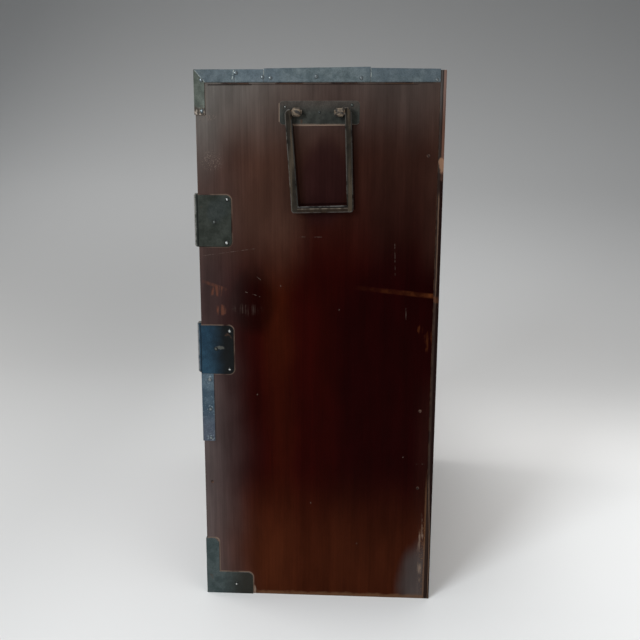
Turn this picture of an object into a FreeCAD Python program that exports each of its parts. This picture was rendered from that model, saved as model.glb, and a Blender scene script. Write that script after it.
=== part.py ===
import FreeCAD, Part
import Sketcher
import os
import re

# Funa dansu, a Japanese ship chest: an upright case of boards with iron straps,
# drawers above and below, and a hinged door beside a stack of small drawers.
# Millimetres, +Z up, the front faces -Y, and the right side faces +X.
# The origin is the centre of the underside of the case.

SIZES = {
    # the case
    "case_width": 660, "case_depth": 386, "case_height": 880,
    "side_thickness": 20, "top_thickness": 20, "base_thickness": 20,
    "shelf_thickness": 18, "back_thickness": 9, "partition_thickness": 18,
    "bottom_drawer_space": 176, "middle_drawer_space": 117, "top_drawer_space": 99,
    "stack_space": 260, "stack_shelf_thickness": 15,
    "compartment_shelf_thickness": 12, "compartment_shelf_rise": 181,
    "compartment_shelf_setback": 50,
    "housing_depth": 7, "shallow_housing": 6, "housing_stop": 14, "base_rebate": 10,
    "finger_count": 9, "joint_gap": 0.1,
    "back_board_count": 4, "back_lap": 8,
    # iron straps
    "iron_thickness": 1.5, "strap_width": 18, "strap_seam": 0.3,
    "first_strap": 62, "second_strap": 45, "third_strap": 164,
    "strap_lift_start": 1.2, "strap_lift": 3.3, "strap_fall": 1.6,
    "corner_strap_length": 66, "corner_strap_width": 15,
    "edge_strap_length": 117, "edge_strap_width": 19,
    "foot_iron_leg": 21, "foot_iron_height": 103.5, "foot_iron_length": 79.5,
    "foot_iron_rise": 40.2, "foot_iron_chamfer": 7, "foot_iron_radius": 9,
    # the door and its hinges
    "door_gap": 1.5, "door_thickness": 20, "stile_width": 60, "rail_height": 60,
    "panel_thickness": 8, "groove_depth": 8, "panel_hold": 7.7,
    "panel_field": 4, "panel_slope": 3.6, "panel_bevel": 30,
    "lower_hinge_inset": 49.6, "upper_hinge_inset": 52, "hinge_height": 81.4,
    "hinge_wrap": 53, "hinge_reach": 58, "hinge_corner": 8,
    "barrel_radius": 5.2, "pin_radius": 2.5, "pin_play": 0.08, "knuckle_gap": 0.3,
    "pin_head": 4.2, "pin_head_height": 2.6, "pin_head_chamfer": 1.3,
    # the lock
    "lock_plate_width": 54, "lock_plate_height": 150, "lock_plate_clip": 9,
    "keyhole_rise": 38, "keyhole_radius": 3.2, "cover_rise": 14,
    "cover_width": 17, "cover_length": 27, "cover_pin": 2.5, "cover_play": 0.3,
    "cover_rivet": 4.5,
    "lock_case_width": 48, "lock_case_height": 44, "lock_case_depth": 13,
    "bolt_height": 12, "bolt_thickness": 6, "bolt_length": 38, "bolt_play": 0.3,
    "bolt_throw": 8, "strike_play": 1,
    # side handles
    "handle_inset": 63, "handle_standoff": 10, "handle_bar": 10.5,
    "handle_offset": 2, "handle_top_half": 51.4,
    "handle_foot_front": 42.6, "handle_foot_rear": 54.2,
    "handle_front_rise": 4.5, "handle_rear_rise": 7.2,
    "handle_skew": 1.2, "handle_shoulder": 8,
    "handle_drop": 152, "handle_bend": 4.7, "handle_bevel": 1.6,
    "handle_pin": 4, "handle_tip": 1.2,
    "eye_play": 0.8, "eye_width": 14, "eye_radius": 7.5, "eye_chamfer": 2.2,
    "eye_tang": 3, "eye_grip": 17, "tang_play": 0.1,
    "handle_plate_length": 123, "handle_plate_height": 35, "handle_plate_corner": 5,
    # drawers
    "drawer_gap": 1, "drawer_rest": 0.3, "drawer_front_thickness": 20,
    "drawer_side_thickness": 11, "drawer_bottom_thickness": 7, "drawer_rebate": 9,
    "drawer_drop": 3, "drawer_rear_room": 12,
    "corner_plate": 34, "corner_plate_width": 9, "front_iron": 1.2,
    # drawer pulls
    "pull_half": 34, "pull_bar": 6, "pull_drop": 37, "pull_pin": 2.5,
    "pull_bevel": 0.8, "pull_foot_cut": 4.2, "pull_shoulder_cut": 2.4,
    "pull_standoff": 9, "post_width": 8, "post_radius": 4.8, "post_tang": 2.2,
    "post_grip": 12, "leg_play": 0.6, "pin_tip": 1.5, "pull_plate_height": 24,
    "pull_plate_margin": 14, "pull_inset": 150, "door_pull_half": 15,
    "door_pull_drop": 30, "door_pull_fall": 22,
}

# Places worked out from the sizes. Each formula may name sizes and other places.
PLACES = {
    "side_x": "case_width / 2",
    "inner_x": "side_x - side_thickness",
    "front_y": "-case_depth / 2",
    "rear_y": "case_depth / 2 - back_thickness",
    "ceiling_z": "case_height - top_thickness",
    "lower_shelf_z": "base_thickness + bottom_drawer_space",
    "middle_shelf_z": "lower_shelf_z + shelf_thickness + middle_drawer_space",
    "upper_shelf_z": "ceiling_z - top_drawer_space - shelf_thickness",
    "door_floor_z": "middle_shelf_z + shelf_thickness",
    "door_middle_z": "(door_floor_z + upper_shelf_z) / 2",
    "stack_shelf_z": "door_middle_z - stack_shelf_thickness / 2",
    "compartment_shelf_z": "door_floor_z + compartment_shelf_rise",
    "partition_left_x": "stack_space - inner_x",
    "partition_right_x": "partition_left_x + partition_thickness",
    "housing_x": "inner_x + housing_depth",
    "housing_y": "front_y + housing_stop",
    "finger_width": "(rear_y - front_y) / finger_count",
    "iron_x": "side_x + iron_thickness",
    "iron_y": "front_y - iron_thickness",
    "iron_z": "case_height + iron_thickness",
    "door_left_x": "partition_right_x + door_gap",
    "door_right_x": "inner_x - door_gap",
    "door_low_z": "door_floor_z + door_gap",
    "door_high_z": "upper_shelf_z - door_gap",
    "door_rear_y": "front_y + door_thickness",
    "axis_y": "front_y - barrel_radius",
    "lower_hinge_z": "door_floor_z + lower_hinge_inset",
    "upper_hinge_z": "upper_shelf_z - upper_hinge_inset - hinge_height",
    "knuckle": "(hinge_height - 2 * knuckle_gap) / 3",
    "lock_x": "door_left_x + stile_width / 2",
    "keyhole_z": "door_middle_z + keyhole_rise",
    "cover_z": "keyhole_z + cover_rise",
    "bolt_y": "door_rear_y + lock_case_depth / 2",
    "eye_x": "side_x + handle_standoff",
    "eye_centre": "handle_top_half - handle_bar - eye_play - eye_width / 2",
    "handle_z": "case_height - handle_inset",
    "handle_low_z": "handle_z - handle_drop",
}

EYES = [("-(handle_offset + eye_centre)", "handle_z"), ("(eye_centre - handle_offset)", "handle_z")]

doc = FreeCAD.newDocument("ship_chest")
sheet = doc.addObject("Spreadsheet::Sheet", "Sizes")
for row, (name, number) in enumerate(SIZES.items(), start=1):
    sheet.set("A%d" % row, name)
    sheet.set("B%d" % row, str(number))
    sheet.setAlias("B%d" % row, name)
doc.recompute()

NORMAL_SIGN = {"XY": 1, "XZ": -1, "YZ": 1}
nodes = []


def formula(text):
    """The text with every place written out and every size read from the sheet."""
    def expand(match):
        word = match.group(0)
        if word in PLACES:
            return "(%s)" % formula(PLACES[word])
        return "Sizes." + word if word in SIZES else word
    return re.sub(r"[a-z_]+", expand, text)


def value(text):
    return float(sheet.evalExpression(formula(text)))


def bind(thing, prop, text):
    thing.setExpression(prop, formula(text))


def node(thing, label):
    """Names the object that is written to a file of its own."""
    thing.Label = label
    nodes.append(thing)
    return thing


def new_body(label):
    body = doc.addObject("PartDesign::Body", label)
    body.AllowCompound = True
    return body


def new_sketch(body, plane, start):
    """A sketch on a plane of the body, moved along +X, +Y or +Z to start."""
    sketch = body.newObject("Sketcher::SketchObject", body.Name + "_sketch")
    origin = [each for each in body.Origin.OriginFeatures if each.Role == plane + "_Plane"]
    sketch.AttachmentSupport = (origin[0], [""])
    sketch.MapMode = "FlatFace"
    bind(sketch, "AttachmentOffset.Base.z", "%d * (%s)" % (NORMAL_SIGN[plane], start))
    return sketch


def outline(body, plane, start, *loops):
    """Closed loops of straight lines, each through a list of (across, up) corners."""
    sketch = new_sketch(body, plane, start)
    for corners in loops:
        first = sketch.GeometryCount
        spots = [FreeCAD.Vector(value(across), value(up), 0) for across, up in corners]
        ends = spots[1:] + spots[:1]
        sketch.addGeometry([Part.LineSegment(a, b) for a, b in zip(spots, ends)])
        for step, (across, up) in enumerate(corners):
            line = first + step
            before = first + (step - 1) % len(corners)
            sketch.addConstraint(Sketcher.Constraint("Coincident", before, 2, line, 1))
            for kind, text in (("DistanceX", across), ("DistanceY", up)):
                spot = Sketcher.Constraint(kind, -1, 1, line, 1, value(text))
                bind(sketch, "Constraints[%d]" % sketch.addConstraint(spot), text)
    return sketch


def circle(body, plane, start, radius, *centres):
    sketch = new_sketch(body, plane, start)
    for across, up in centres:
        middle = FreeCAD.Vector(value(across), value(up), 0)
        ring = sketch.addGeometry(Part.Circle(middle, FreeCAD.Vector(0, 0, 1), value(radius)))
        for kind, text in (("DistanceX", across), ("DistanceY", up)):
            spot = Sketcher.Constraint(kind, -1, 1, ring, 3, value(text))
            bind(sketch, "Constraints[%d]" % sketch.addConstraint(spot), text)
        size = Sketcher.Constraint("Radius", ring, value(radius))
        bind(sketch, "Constraints[%d]" % sketch.addConstraint(size), radius)
    return sketch


def rectangle(left, low, right, high):
    return [(left, low), (right, low), (right, high), (left, high)]


def square(middle, half):
    """The corners of a square around a middle."""
    across, up = middle
    return rectangle("%s - (%s)" % (across, half), "%s - (%s)" % (up, half),
                     "%s + (%s)" % (across, half), "%s + (%s)" % (up, half))


def tang_holes(body, plane, start, half, *middles):
    """Square holes for driven tangs, a little wider than the tangs."""
    return outline(body, plane, start, *[square(each, half + " + tang_play") for each in middles])


def pad(body, sketch, length):
    """Adds material from the sketch towards +X, +Y or +Z."""
    feature = body.newObject("PartDesign::Pad", body.Name + "_pad")
    feature.Profile = sketch
    feature.Reversed = sketch.AttachmentSupport[0][0].Role == "XZ_Plane"
    bind(feature, "Length", length)
    sketch.Visibility = False
    return feature


def pocket(body, sketch, length):
    """Cuts from the sketch towards +X, +Y or +Z, and makes sure that it does cut."""
    doc.recompute()
    before = body.Shape.Volume
    feature = body.newObject("PartDesign::Pocket", body.Name + "_pocket")
    feature.Profile = sketch
    feature.Reversed = sketch.AttachmentSupport[0][0].Role != "XZ_Plane"
    bind(feature, "Length", length)
    doc.recompute()
    if body.Shape.Volume > before - 1e-3:
        raise RuntimeError(feature.Name + " cuts nothing")
    return feature


def repeat(body, feature, axis, length, count):
    """Repeats a feature in a row along an axis of the body."""
    line = [each for each in body.Origin.OriginFeatures if each.Role == axis + "_Axis"]
    row = body.newObject("PartDesign::LinearPattern", body.Name + "_row")
    row.Originals = [feature]
    row.Direction = (line[0], [""])
    bind(row, "Length", length)
    bind(row, "Occurrences", count)
    body.Tip = row
    return row


def along(axis, *spots):
    """Picks the straight edges along an axis that pass through the given spots."""
    index = "XYZ".index(axis)
    across, up = [each for each in range(3) if each != index]
    targets = [(value(a), value(b)) for a, b in spots]

    def picks(edge):
        start, end = edge.Vertexes[0].Point, edge.Vertexes[-1].Point
        level = abs(start[across] - end[across]) + abs(start[up] - end[up])
        near = [t for t in targets if abs(start[across] - t[0]) + abs(start[up] - t[1]) < 0.01]
        return level < 1e-6 and bool(near)
    return picks


def facing(axis, *levels):
    """Picks the edges that lie in a plane across an axis, at one of the levels."""
    index = "XYZ".index(axis)
    targets = [value(level) for level in levels]

    def picks(edge):
        box = edge.BoundBox
        low, high = [(box.XMin, box.YMin, box.ZMin), (box.XMax, box.YMax, box.ZMax)]
        return any(abs(low[index] - t) + abs(high[index] - t) < 0.01 for t in targets)
    return picks


def soften(body, kind, size, picks):
    """A fillet or chamfer on the picked edges of the body."""
    doc.recompute()
    base = body.Tip
    names = ["Edge%d" % at for at, edge in enumerate(base.Shape.Edges, start=1) if picks(edge)]
    if not names:
        raise RuntimeError("no edge to soften on " + body.Name)
    feature = body.newObject("PartDesign::" + kind, body.Name + "_" + kind.lower())
    feature.Base = (base, names)
    bind(feature, "Radius" if kind == "Fillet" else "Size", size)
    return feature


def box(label, low, high):
    """A plain board between two corners."""
    board = doc.addObject("Part::Box", label)
    for axis, side, near, far in zip("xyz", ("Length", "Width", "Height"), low, high):
        bind(board, side, "(%s) - (%s)" % (far, near))
        bind(board, "Placement.Base." + axis, near)
    return board


def group(label, pieces):
    """Separate pieces that share one node."""
    bundle = doc.addObject("Part::Compound", label)
    bundle.Links = pieces
    return node(bundle, label)


def mirrored(label, source):
    """The same piece on the left side of the chest."""
    copy = doc.addObject("Part::Mirroring", label)
    copy.Source = source
    copy.Normal = (1, 0, 0)
    return copy


def outward(side, near, far):
    """Start and length of a slab between two distances from the middle of the chest."""
    start = near if side > 0 else "-(%s)" % far
    return start, "(%s) - (%s)" % (far, near)


# ---- The case: sides, top, base, shelves, partition and back ----

def side_board(label, side, low_z, thickness, setback):
    """A side with fingers for the top, a rebate for the base and a housing per shelf."""
    body = new_body(label)
    start, length = outward(side, "inner_x", "side_x")
    pad(body, outline(body, "YZ", start, rectangle("front_y", "0", "rear_y", "case_height")), length)
    slot = rectangle("front_y + finger_width", "ceiling_z",
                     "front_y + 2 * finger_width", "case_height")
    first = pocket(body, outline(body, "YZ", start, slot), length)
    repeat(body, first, "Y", "(finger_count - 3) * finger_width", "(finger_count - 1) / 2")
    start, length = outward(side, "inner_x", "inner_x + base_rebate")
    rebate = rectangle("front_y", "0", "rear_y", "base_thickness")
    pocket(body, outline(body, "YZ", start, rebate), length)
    housings = [rectangle("housing_y", low, "rear_y", low + " + shelf_thickness")
                for low in ("lower_shelf_z", "middle_shelf_z", "upper_shelf_z")]
    housings.append(rectangle("front_y + " + setback, low_z, "rear_y", low_z + " + " + thickness))
    start, length = outward(side, "inner_x", "housing_x")
    pocket(body, outline(body, "YZ", start, *housings), length)
    start, length = outward(side, "side_x - eye_grip", "side_x")
    pocket(body, tang_holes(body, "YZ", start, "eye_tang", *EYES), length)
    return node(body, label)


def top_board():
    """The top, with fingers that fill the gaps between those of the sides."""
    body = new_body("top_board")
    whole = rectangle("-side_x", "front_y", "side_x", "rear_y")
    pad(body, outline(body, "XY", "ceiling_z", whole), "top_thickness")
    front = "front_y - joint_gap"
    rear = "front_y + finger_width + joint_gap"
    ends = [rectangle("inner_x - joint_gap", front, "side_x + joint_gap", rear),
            rectangle("-side_x - joint_gap", front, "-inner_x + joint_gap", rear)]
    first = pocket(body, outline(body, "XY", "ceiling_z", *ends), "top_thickness")
    repeat(body, first, "Y", "(finger_count - 1) * finger_width", "(finger_count + 1) / 2")
    return node(body, "top_board")


def bottom_board():
    reach = "inner_x + base_rebate - joint_gap"
    return node(box("bottom_board", ("-(%s)" % reach, "front_y", "0"),
                    (reach, "rear_y", "base_thickness")), "bottom_board")


def shelf(label, low_z, partition_groove):
    """A full-width shelf: its front edge shows between the sides, its ends sit in housings."""
    body = new_body(label)
    front_x = "inner_x - joint_gap"
    rear_x = "housing_x - joint_gap"
    step_y = "housing_y + joint_gap"
    pad(body, outline(body, "XY", low_z, [
        ("-(%s)" % front_x, "front_y"), (front_x, "front_y"), (front_x, step_y),
        (rear_x, step_y), (rear_x, "rear_y"), ("-(%s)" % rear_x, "rear_y"),
        ("-(%s)" % rear_x, step_y), ("-(%s)" % front_x, step_y)]), "shelf_thickness")
    if partition_groove:
        groove = rectangle("partition_left_x", "housing_y", "partition_right_x", "rear_y")
        pocket(body, outline(body, "XY", partition_groove, groove), "housing_depth")
    return node(body, label)


def partition():
    """The upright between the small drawers and the door, housed in both shelves."""
    body = new_body("partition")
    low, high = "door_floor_z", "upper_shelf_z"
    deep_low, deep_high = low + " - housing_depth + joint_gap", high + " + housing_depth - joint_gap"
    step_y = "housing_y + joint_gap"
    pad(body, outline(body, "YZ", "partition_left_x", [
        ("front_y", low), (step_y, low), (step_y, deep_low), ("rear_y", deep_low),
        ("rear_y", deep_high), (step_y, deep_high), (step_y, high), ("front_y", high)]),
        "partition_thickness")
    stack = rectangle("housing_y", "stack_shelf_z", "rear_y", "stack_shelf_z + stack_shelf_thickness")
    pocket(body, outline(body, "YZ", "partition_left_x", stack), "shallow_housing")
    shelf_top = "compartment_shelf_z + compartment_shelf_thickness"
    rest = rectangle("front_y + compartment_shelf_setback", "compartment_shelf_z", "rear_y", shelf_top)
    pocket(body, outline(body, "YZ", "partition_right_x - shallow_housing", rest),
           "shallow_housing")
    half_y, half_z = "(bolt_thickness / 2 + strike_play)", "(bolt_height / 2 + strike_play)"
    strike = rectangle("bolt_y - " + half_y, "keyhole_z - " + half_z,
                       "bolt_y + " + half_y, "keyhole_z + " + half_z)
    pocket(body, outline(body, "YZ", "partition_right_x - bolt_throw - strike_play", strike),
           "bolt_throw + strike_play")
    return node(body, "partition")


def stack_shelf():
    """The shelf between the two small drawers."""
    body = new_body("stack_shelf")
    left, right = "joint_gap - inner_x", "partition_left_x - joint_gap"
    deep_left = left + " - housing_depth"
    deep_right = right + " + shallow_housing"
    step_y = "housing_y + joint_gap"
    pad(body, outline(body, "XY", "stack_shelf_z", [
        (left, "front_y"), (right, "front_y"), (right, step_y), (deep_right, step_y),
        (deep_right, "rear_y"), (deep_left, "rear_y"), (deep_left, step_y), (left, step_y)]),
        "stack_shelf_thickness")
    return node(body, "stack_shelf")


def compartment_shelf():
    """The fixed shelf behind the door, set back from it."""
    return node(box("compartment_shelf", (
        "partition_right_x - shallow_housing + joint_gap",
        "front_y + compartment_shelf_setback + joint_gap", "compartment_shelf_z"), (
        "housing_x - joint_gap", "rear_y",
        "compartment_shelf_z + compartment_shelf_thickness")), "compartment_shelf")


def back_boards():
    """Upright boards with half-lapped edges, nailed over the rear of the case."""
    boards = []
    count = int(value("back_board_count"))
    for index in range(count):
        body = new_body("back_board_%d" % (index + 1))
        left = "(%d * case_width / back_board_count - side_x)" % index
        right = "(%d * case_width / back_board_count - side_x)" % (index + 1)
        inner_left = left + " + joint_gap" if index else left
        outer_left = left + " - back_lap" if index else left
        outer_right = right + " - back_lap - joint_gap" if index < count - 1 else right
        inner = rectangle(inner_left, "rear_y", right, "rear_y + back_thickness / 2")
        outer = rectangle(outer_left, "rear_y + back_thickness / 2", outer_right, "case_depth / 2")
        pad(body, outline(body, "XY", "0", inner), "case_height")
        pad(body, outline(body, "XY", "0", outer), "case_height")
        boards.append(body)
    return group("back_boards", boards)


# ---- Iron straps on the edges of the case ----

def side_top_strap():
    """Four lengths of angle iron along the top edge: the first is mitred at the front, and
    the last two have sprung up a little where they meet."""
    pieces = []
    seams = ["front_y", "front_y + first_strap", "front_y + first_strap + second_strap",
             "front_y + first_strap + second_strap + third_strap", "rear_y"]
    lifts = [("0", "0"), ("0", "0"), ("strap_lift_start", "strap_lift"), ("strap_fall", "0")]
    low, inner = "case_height - strap_width", "side_x - strap_width"
    for index, (front, rear) in enumerate(zip(seams, seams[1:])):
        body = new_body("top_strap_%d" % (index + 1))
        end = rear + " - strap_seam"
        high_front, high_end = ["iron_z + " + lift for lift in lifts[index]]
        if index == 0:
            face = [("front_y + corner_strap_width", low), (end, low), (end, high_end),
                    ("iron_y", high_front)]
            deck = [("side_x", "front_y"), ("side_x", end), (inner, end),
                    (inner, "front_y + strap_width")]
            pad(body, outline(body, "YZ", "side_x", face), "iron_thickness")
            pad(body, outline(body, "XY", "case_height", deck), "iron_thickness")
        else:
            face = [(front, low), (end, low), (end, high_end), (front, high_front)]
            deck = [(front, "case_height"), (end, "case_height"), (end, high_end),
                    (front, high_front)]
            pad(body, outline(body, "YZ", "side_x", face), "iron_thickness")
            pad(body, outline(body, "YZ", inner, deck), "strap_width")
        pieces.append(body)
    right = group("top_strap_right", pieces)
    node(mirrored("top_strap_left", right), "top_strap_left")


def front_top_strap():
    """Angle iron along the front of the top, mitred to the straps of both sides."""
    body = new_body("top_strap_front")
    outer, inner = "side_x - strap_seam", "side_x - strap_width - strap_seam"
    face = [("-(%s)" % inner, "case_height - strap_width"), (inner, "case_height - strap_width"),
            (outer, "case_height"), (outer, "iron_z"), ("-(%s)" % outer, "iron_z"),
            ("-(%s)" % outer, "case_height")]
    pad(body, outline(body, "XZ", "iron_y", face), "iron_thickness")
    deck = [("-(%s)" % outer, "front_y"), (outer, "front_y"),
            (inner, "front_y + strap_width"), ("-(%s)" % inner, "front_y + strap_width")]
    pad(body, outline(body, "XY", "case_height", deck), "iron_thickness")
    return node(body, "top_strap_front")


def front_corner_straps():
    """Upright angle irons below the mitres at the two front corners."""
    body = new_body("corner_strap")
    low = "case_height - corner_strap_length"
    tip, notch = "iron_z - strap_seam", "case_height - strap_width - strap_seam"
    edge = "front_y + corner_strap_width"
    side = [("iron_y", low), (edge, low), (edge, notch), ("iron_y", tip)]
    pad(body, outline(body, "YZ", "side_x", side), "iron_thickness")
    front = [("side_x - strap_width", low), ("side_x", low), ("side_x", tip + " - iron_thickness"),
             ("side_x - strap_width", notch)]
    pad(body, outline(body, "XZ", "iron_y", front), "iron_thickness")
    return group("front_corner_straps", [body, mirrored("corner_strap_left", body)])


def front_edge_straps():
    """Angle irons on the front edges, hanging from the lower hinges' height."""
    body = new_body("edge_strap")
    high = "lower_hinge_z - strap_seam"
    low = high + " - edge_strap_length"
    side = rectangle("iron_y", low, "front_y + edge_strap_width", high)
    pad(body, outline(body, "YZ", "side_x", side), "iron_thickness")
    front = rectangle("inner_x + barrel_radius + strap_seam", low, "iron_x", high)
    pad(body, outline(body, "XZ", "iron_y", front), "iron_thickness")
    return group("front_edge_straps", [body, mirrored("edge_strap_left", body)])


def foot_irons():
    """Bent corner irons at the bottom front corners, with a tall and a long leg each way."""
    body = new_body("foot_iron")
    leg, height = "front_y + foot_iron_leg", "foot_iron_height"
    end = "front_y + foot_iron_length"
    pad(body, outline(body, "YZ", "side_x", [
        ("iron_y", "0"), (end, "0"), (end, "foot_iron_rise"), (leg, "foot_iron_rise"),
        (leg, height + " - foot_iron_chamfer"), (leg + " - foot_iron_chamfer", height),
        ("iron_y", height)]), "iron_thickness")
    edge, deck = "side_x - strap_width", "strap_width"
    pad(body, outline(body, "XZ", "iron_y", [
        ("side_x - foot_iron_length", "0"), ("iron_x", "0"), ("iron_x", height), (edge, height),
        (edge, deck), ("side_x - foot_iron_length", deck)]), "iron_thickness")
    soften(body, "Fillet", "foot_iron_radius", along("X", (end, "foot_iron_rise")))
    return group("bottom_corner_irons", [body, mirrored("foot_iron_left", body)])


# ---- The door hinges ----

def hinge(name, low):
    """A leaf wrapped round the case's front edge, a leaf on the door, and their pin."""
    high = low + " + hinge_height"
    reach, wrap = "inner_x - hinge_reach", "front_y + hinge_wrap"
    door_knuckle = low + " + knuckle + knuckle_gap"
    clear = "(barrel_radius + 2 * knuckle_gap)"
    hole = "pin_radius + pin_play"
    middle = ("inner_x", "axis_y")

    case = new_body(name + "_hinge_case_leaf")
    pad(case, outline(case, "XY", low, [
        ("inner_x", "front_y"), ("inner_x", "iron_y"), ("iron_x", "iron_y"), ("iron_x", wrap),
        ("side_x", wrap), ("side_x", "front_y")]), "hinge_height")
    pad(case, circle(case, "XY", low, "barrel_radius", middle), "hinge_height")
    soften(case, "Fillet", "hinge_corner", along("X", (wrap, low), (wrap, high)))
    gap = rectangle("inner_x - " + clear, "axis_y - " + clear, "inner_x + " + clear, "front_y")
    pocket(case, outline(case, "XY", low + " + knuckle", gap), "knuckle + 2 * knuckle_gap")
    pocket(case, circle(case, "XY", low, hole, middle), "hinge_height")
    node(case, name + "_hinge_case_leaf")

    leaf = new_body(name + "_hinge_door_leaf")
    pad(leaf, outline(leaf, "XZ", "iron_y", rectangle(reach, low, "inner_x - " + clear, high)),
        "iron_thickness")
    pad(leaf, outline(leaf, "XZ", "iron_y", rectangle(
        "inner_x - 2 * " + clear, door_knuckle, "inner_x", door_knuckle + " + knuckle")),
        "iron_thickness")
    pad(leaf, circle(leaf, "XY", door_knuckle, "barrel_radius", middle), "knuckle")
    soften(leaf, "Fillet", "hinge_corner", along("Y", (reach, low), (reach, high)))
    pocket(leaf, circle(leaf, "XY", door_knuckle, hole, middle), "knuckle")
    node(leaf, name + "_hinge_door_leaf")

    pin = new_body(name + "_hinge_pin")
    pad(pin, circle(pin, "XY", low, "pin_radius", middle), "hinge_height")
    for start in (low + " - pin_head_height", high):
        pad(pin, circle(pin, "XY", start, "pin_head", middle), "pin_head_height")
    soften(pin, "Chamfer", "pin_head_chamfer",
           facing("Z", low + " - pin_head_height", high + " + pin_head_height"))
    return pin


# ---- The door, its lock and its pull ----

DOOR_PULL_Z = "door_middle_z - door_pull_fall"
DOOR_POSTS = [("(lock_x - door_pull_half)", DOOR_PULL_Z), ("(lock_x + door_pull_half)", DOOR_PULL_Z)]


def door_stiles():
    """The two uprights of the door, grooved along their inner edges."""
    posts = []
    groove_low = "front_y + (door_thickness - panel_thickness) / 2"
    for name, left, right, groove_x in (
            ("left", "door_left_x", "door_left_x + stile_width",
             "door_left_x + stile_width - groove_depth"),
            ("right", "door_right_x - stile_width", "door_right_x", "door_right_x - stile_width")):
        body = new_body("door_stile_" + name)
        whole = rectangle(left, "front_y", right, "door_rear_y")
        pad(body, outline(body, "XY", "door_low_z", whole), "door_high_z - door_low_z")
        groove = rectangle(groove_x, groove_low, groove_x + " + groove_depth",
                           groove_low + " + panel_thickness")
        pocket(body, outline(body, "XY", "door_low_z", groove), "door_high_z - door_low_z")
        if name == "left":
            keyhole = circle(body, "XZ", "front_y", "keyhole_radius", ("lock_x", "keyhole_z"))
            pocket(body, keyhole, "door_thickness")
            holes = tang_holes(body, "XZ", "front_y", "post_tang", *DOOR_POSTS)
            pocket(body, holes, "post_grip")
        posts.append(body)
    return group("door_stiles", posts)


def door_rails():
    """The two crosspieces, with a tongue at each end and a groove for the panel."""
    rails = []
    left, right = "door_left_x + stile_width", "door_right_x - stile_width"
    tongue_y = "front_y + (door_thickness - panel_thickness) / 2 + joint_gap"
    for name, low, groove_z in (
            ("bottom", "door_low_z", "door_low_z + rail_height - groove_depth"),
            ("top", "door_high_z - rail_height", "door_high_z - rail_height")):
        body = new_body("door_rail_" + name)
        whole = rectangle(left, low, right, low + " + rail_height")
        pad(body, outline(body, "XZ", "front_y", whole), "door_thickness")
        tongue = rectangle(left + " - groove_depth + joint_gap", low,
                           right + " + groove_depth - joint_gap", low + " + rail_height")
        pad(body, outline(body, "XZ", tongue_y, tongue), "panel_thickness - 2 * joint_gap")
        groove = rectangle(left + " - groove_depth", groove_z,
                           right + " + groove_depth", groove_z + " + groove_depth")
        pocket(body, outline(body, "XZ", tongue_y + " - joint_gap", groove), "panel_thickness")
        rails.append(body)
    return group("door_rails", rails)


def door_panel():
    """A board held in the grooves, with a raised and bevelled field on its face."""
    body = new_body("door_panel")
    left = "door_left_x + stile_width - panel_hold"
    right = "door_right_x - stile_width + panel_hold"
    low = "door_low_z + rail_height - panel_hold"
    high = "door_high_z - rail_height + panel_hold"
    face = "front_y + (door_thickness - panel_thickness) / 2 + joint_gap"
    pad(body, outline(body, "XZ", face, rectangle(left, low, right, high)),
        "panel_thickness - 2 * joint_gap")
    field = rectangle(left + " + panel_bevel", low + " + panel_bevel",
                      right + " - panel_bevel", high + " - panel_bevel")
    pad(body, outline(body, "XZ", face + " - panel_field", field), "panel_field")
    soften(body, "Chamfer", "panel_slope", facing("Y", face + " - panel_field"))
    return node(body, "door_panel")


def lock_plate():
    """The plate on the free stile, with clipped corners and a keyhole."""
    body = new_body("door_lock_plate")
    left, right = "lock_x - lock_plate_width / 2", "lock_x + lock_plate_width / 2"
    low, high = "door_middle_z - lock_plate_height / 2", "door_middle_z + lock_plate_height / 2"
    clip = "lock_plate_clip"
    pad(body, outline(body, "XZ", "iron_y", [
        (left + " + " + clip, low), (right + " - " + clip, low), (right, low + " + " + clip),
        (right, high + " - " + clip), (right + " - " + clip, high), (left + " + " + clip, high),
        (left, high + " - " + clip), (left, low + " + " + clip)]), "iron_thickness")
    pocket(body, circle(body, "XZ", "iron_y", "keyhole_radius", ("lock_x", "keyhole_z")),
           "iron_thickness")
    slot = rectangle("lock_x - keyhole_radius / 2", "keyhole_z - 3 * keyhole_radius",
                     "lock_x + keyhole_radius / 2", "keyhole_z")
    pocket(body, outline(body, "XZ", "iron_y", slot), "iron_thickness")
    holes = tang_holes(body, "XZ", "iron_y", "post_tang", *DOOR_POSTS)
    pocket(body, holes, "iron_thickness")
    rivet, reach = ("lock_x", "cover_z"), "(iron_thickness + 2 * cover_play)"
    pad(body, circle(body, "XZ", "iron_y - " + reach, "cover_pin", rivet), reach)
    head = circle(body, "XZ", "iron_y - iron_thickness - " + reach, "cover_rivet", rivet)
    pad(body, head, "iron_thickness")
    return node(body, "door_lock_plate")


def keyhole_cover():
    """A drop-shaped plate that hangs over the keyhole and swings aside on its rivet."""
    body = new_body("keyhole_cover")
    start = "iron_y - iron_thickness - cover_play"
    half, tip = "cover_width / 2", "cover_z - cover_length"
    pad(body, circle(body, "XZ", start, half, ("lock_x", "cover_z")), "iron_thickness")
    pad(body, outline(body, "XZ", start, [
        ("lock_x - " + half, "cover_z"), ("lock_x - cover_width / 4", tip),
        ("lock_x + cover_width / 4", tip), ("lock_x + " + half, "cover_z")]), "iron_thickness")
    pocket(body, circle(body, "XZ", start, "cover_pin + pin_play", ("lock_x", "cover_z")),
           "iron_thickness")
    return node(body, "keyhole_cover")


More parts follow.
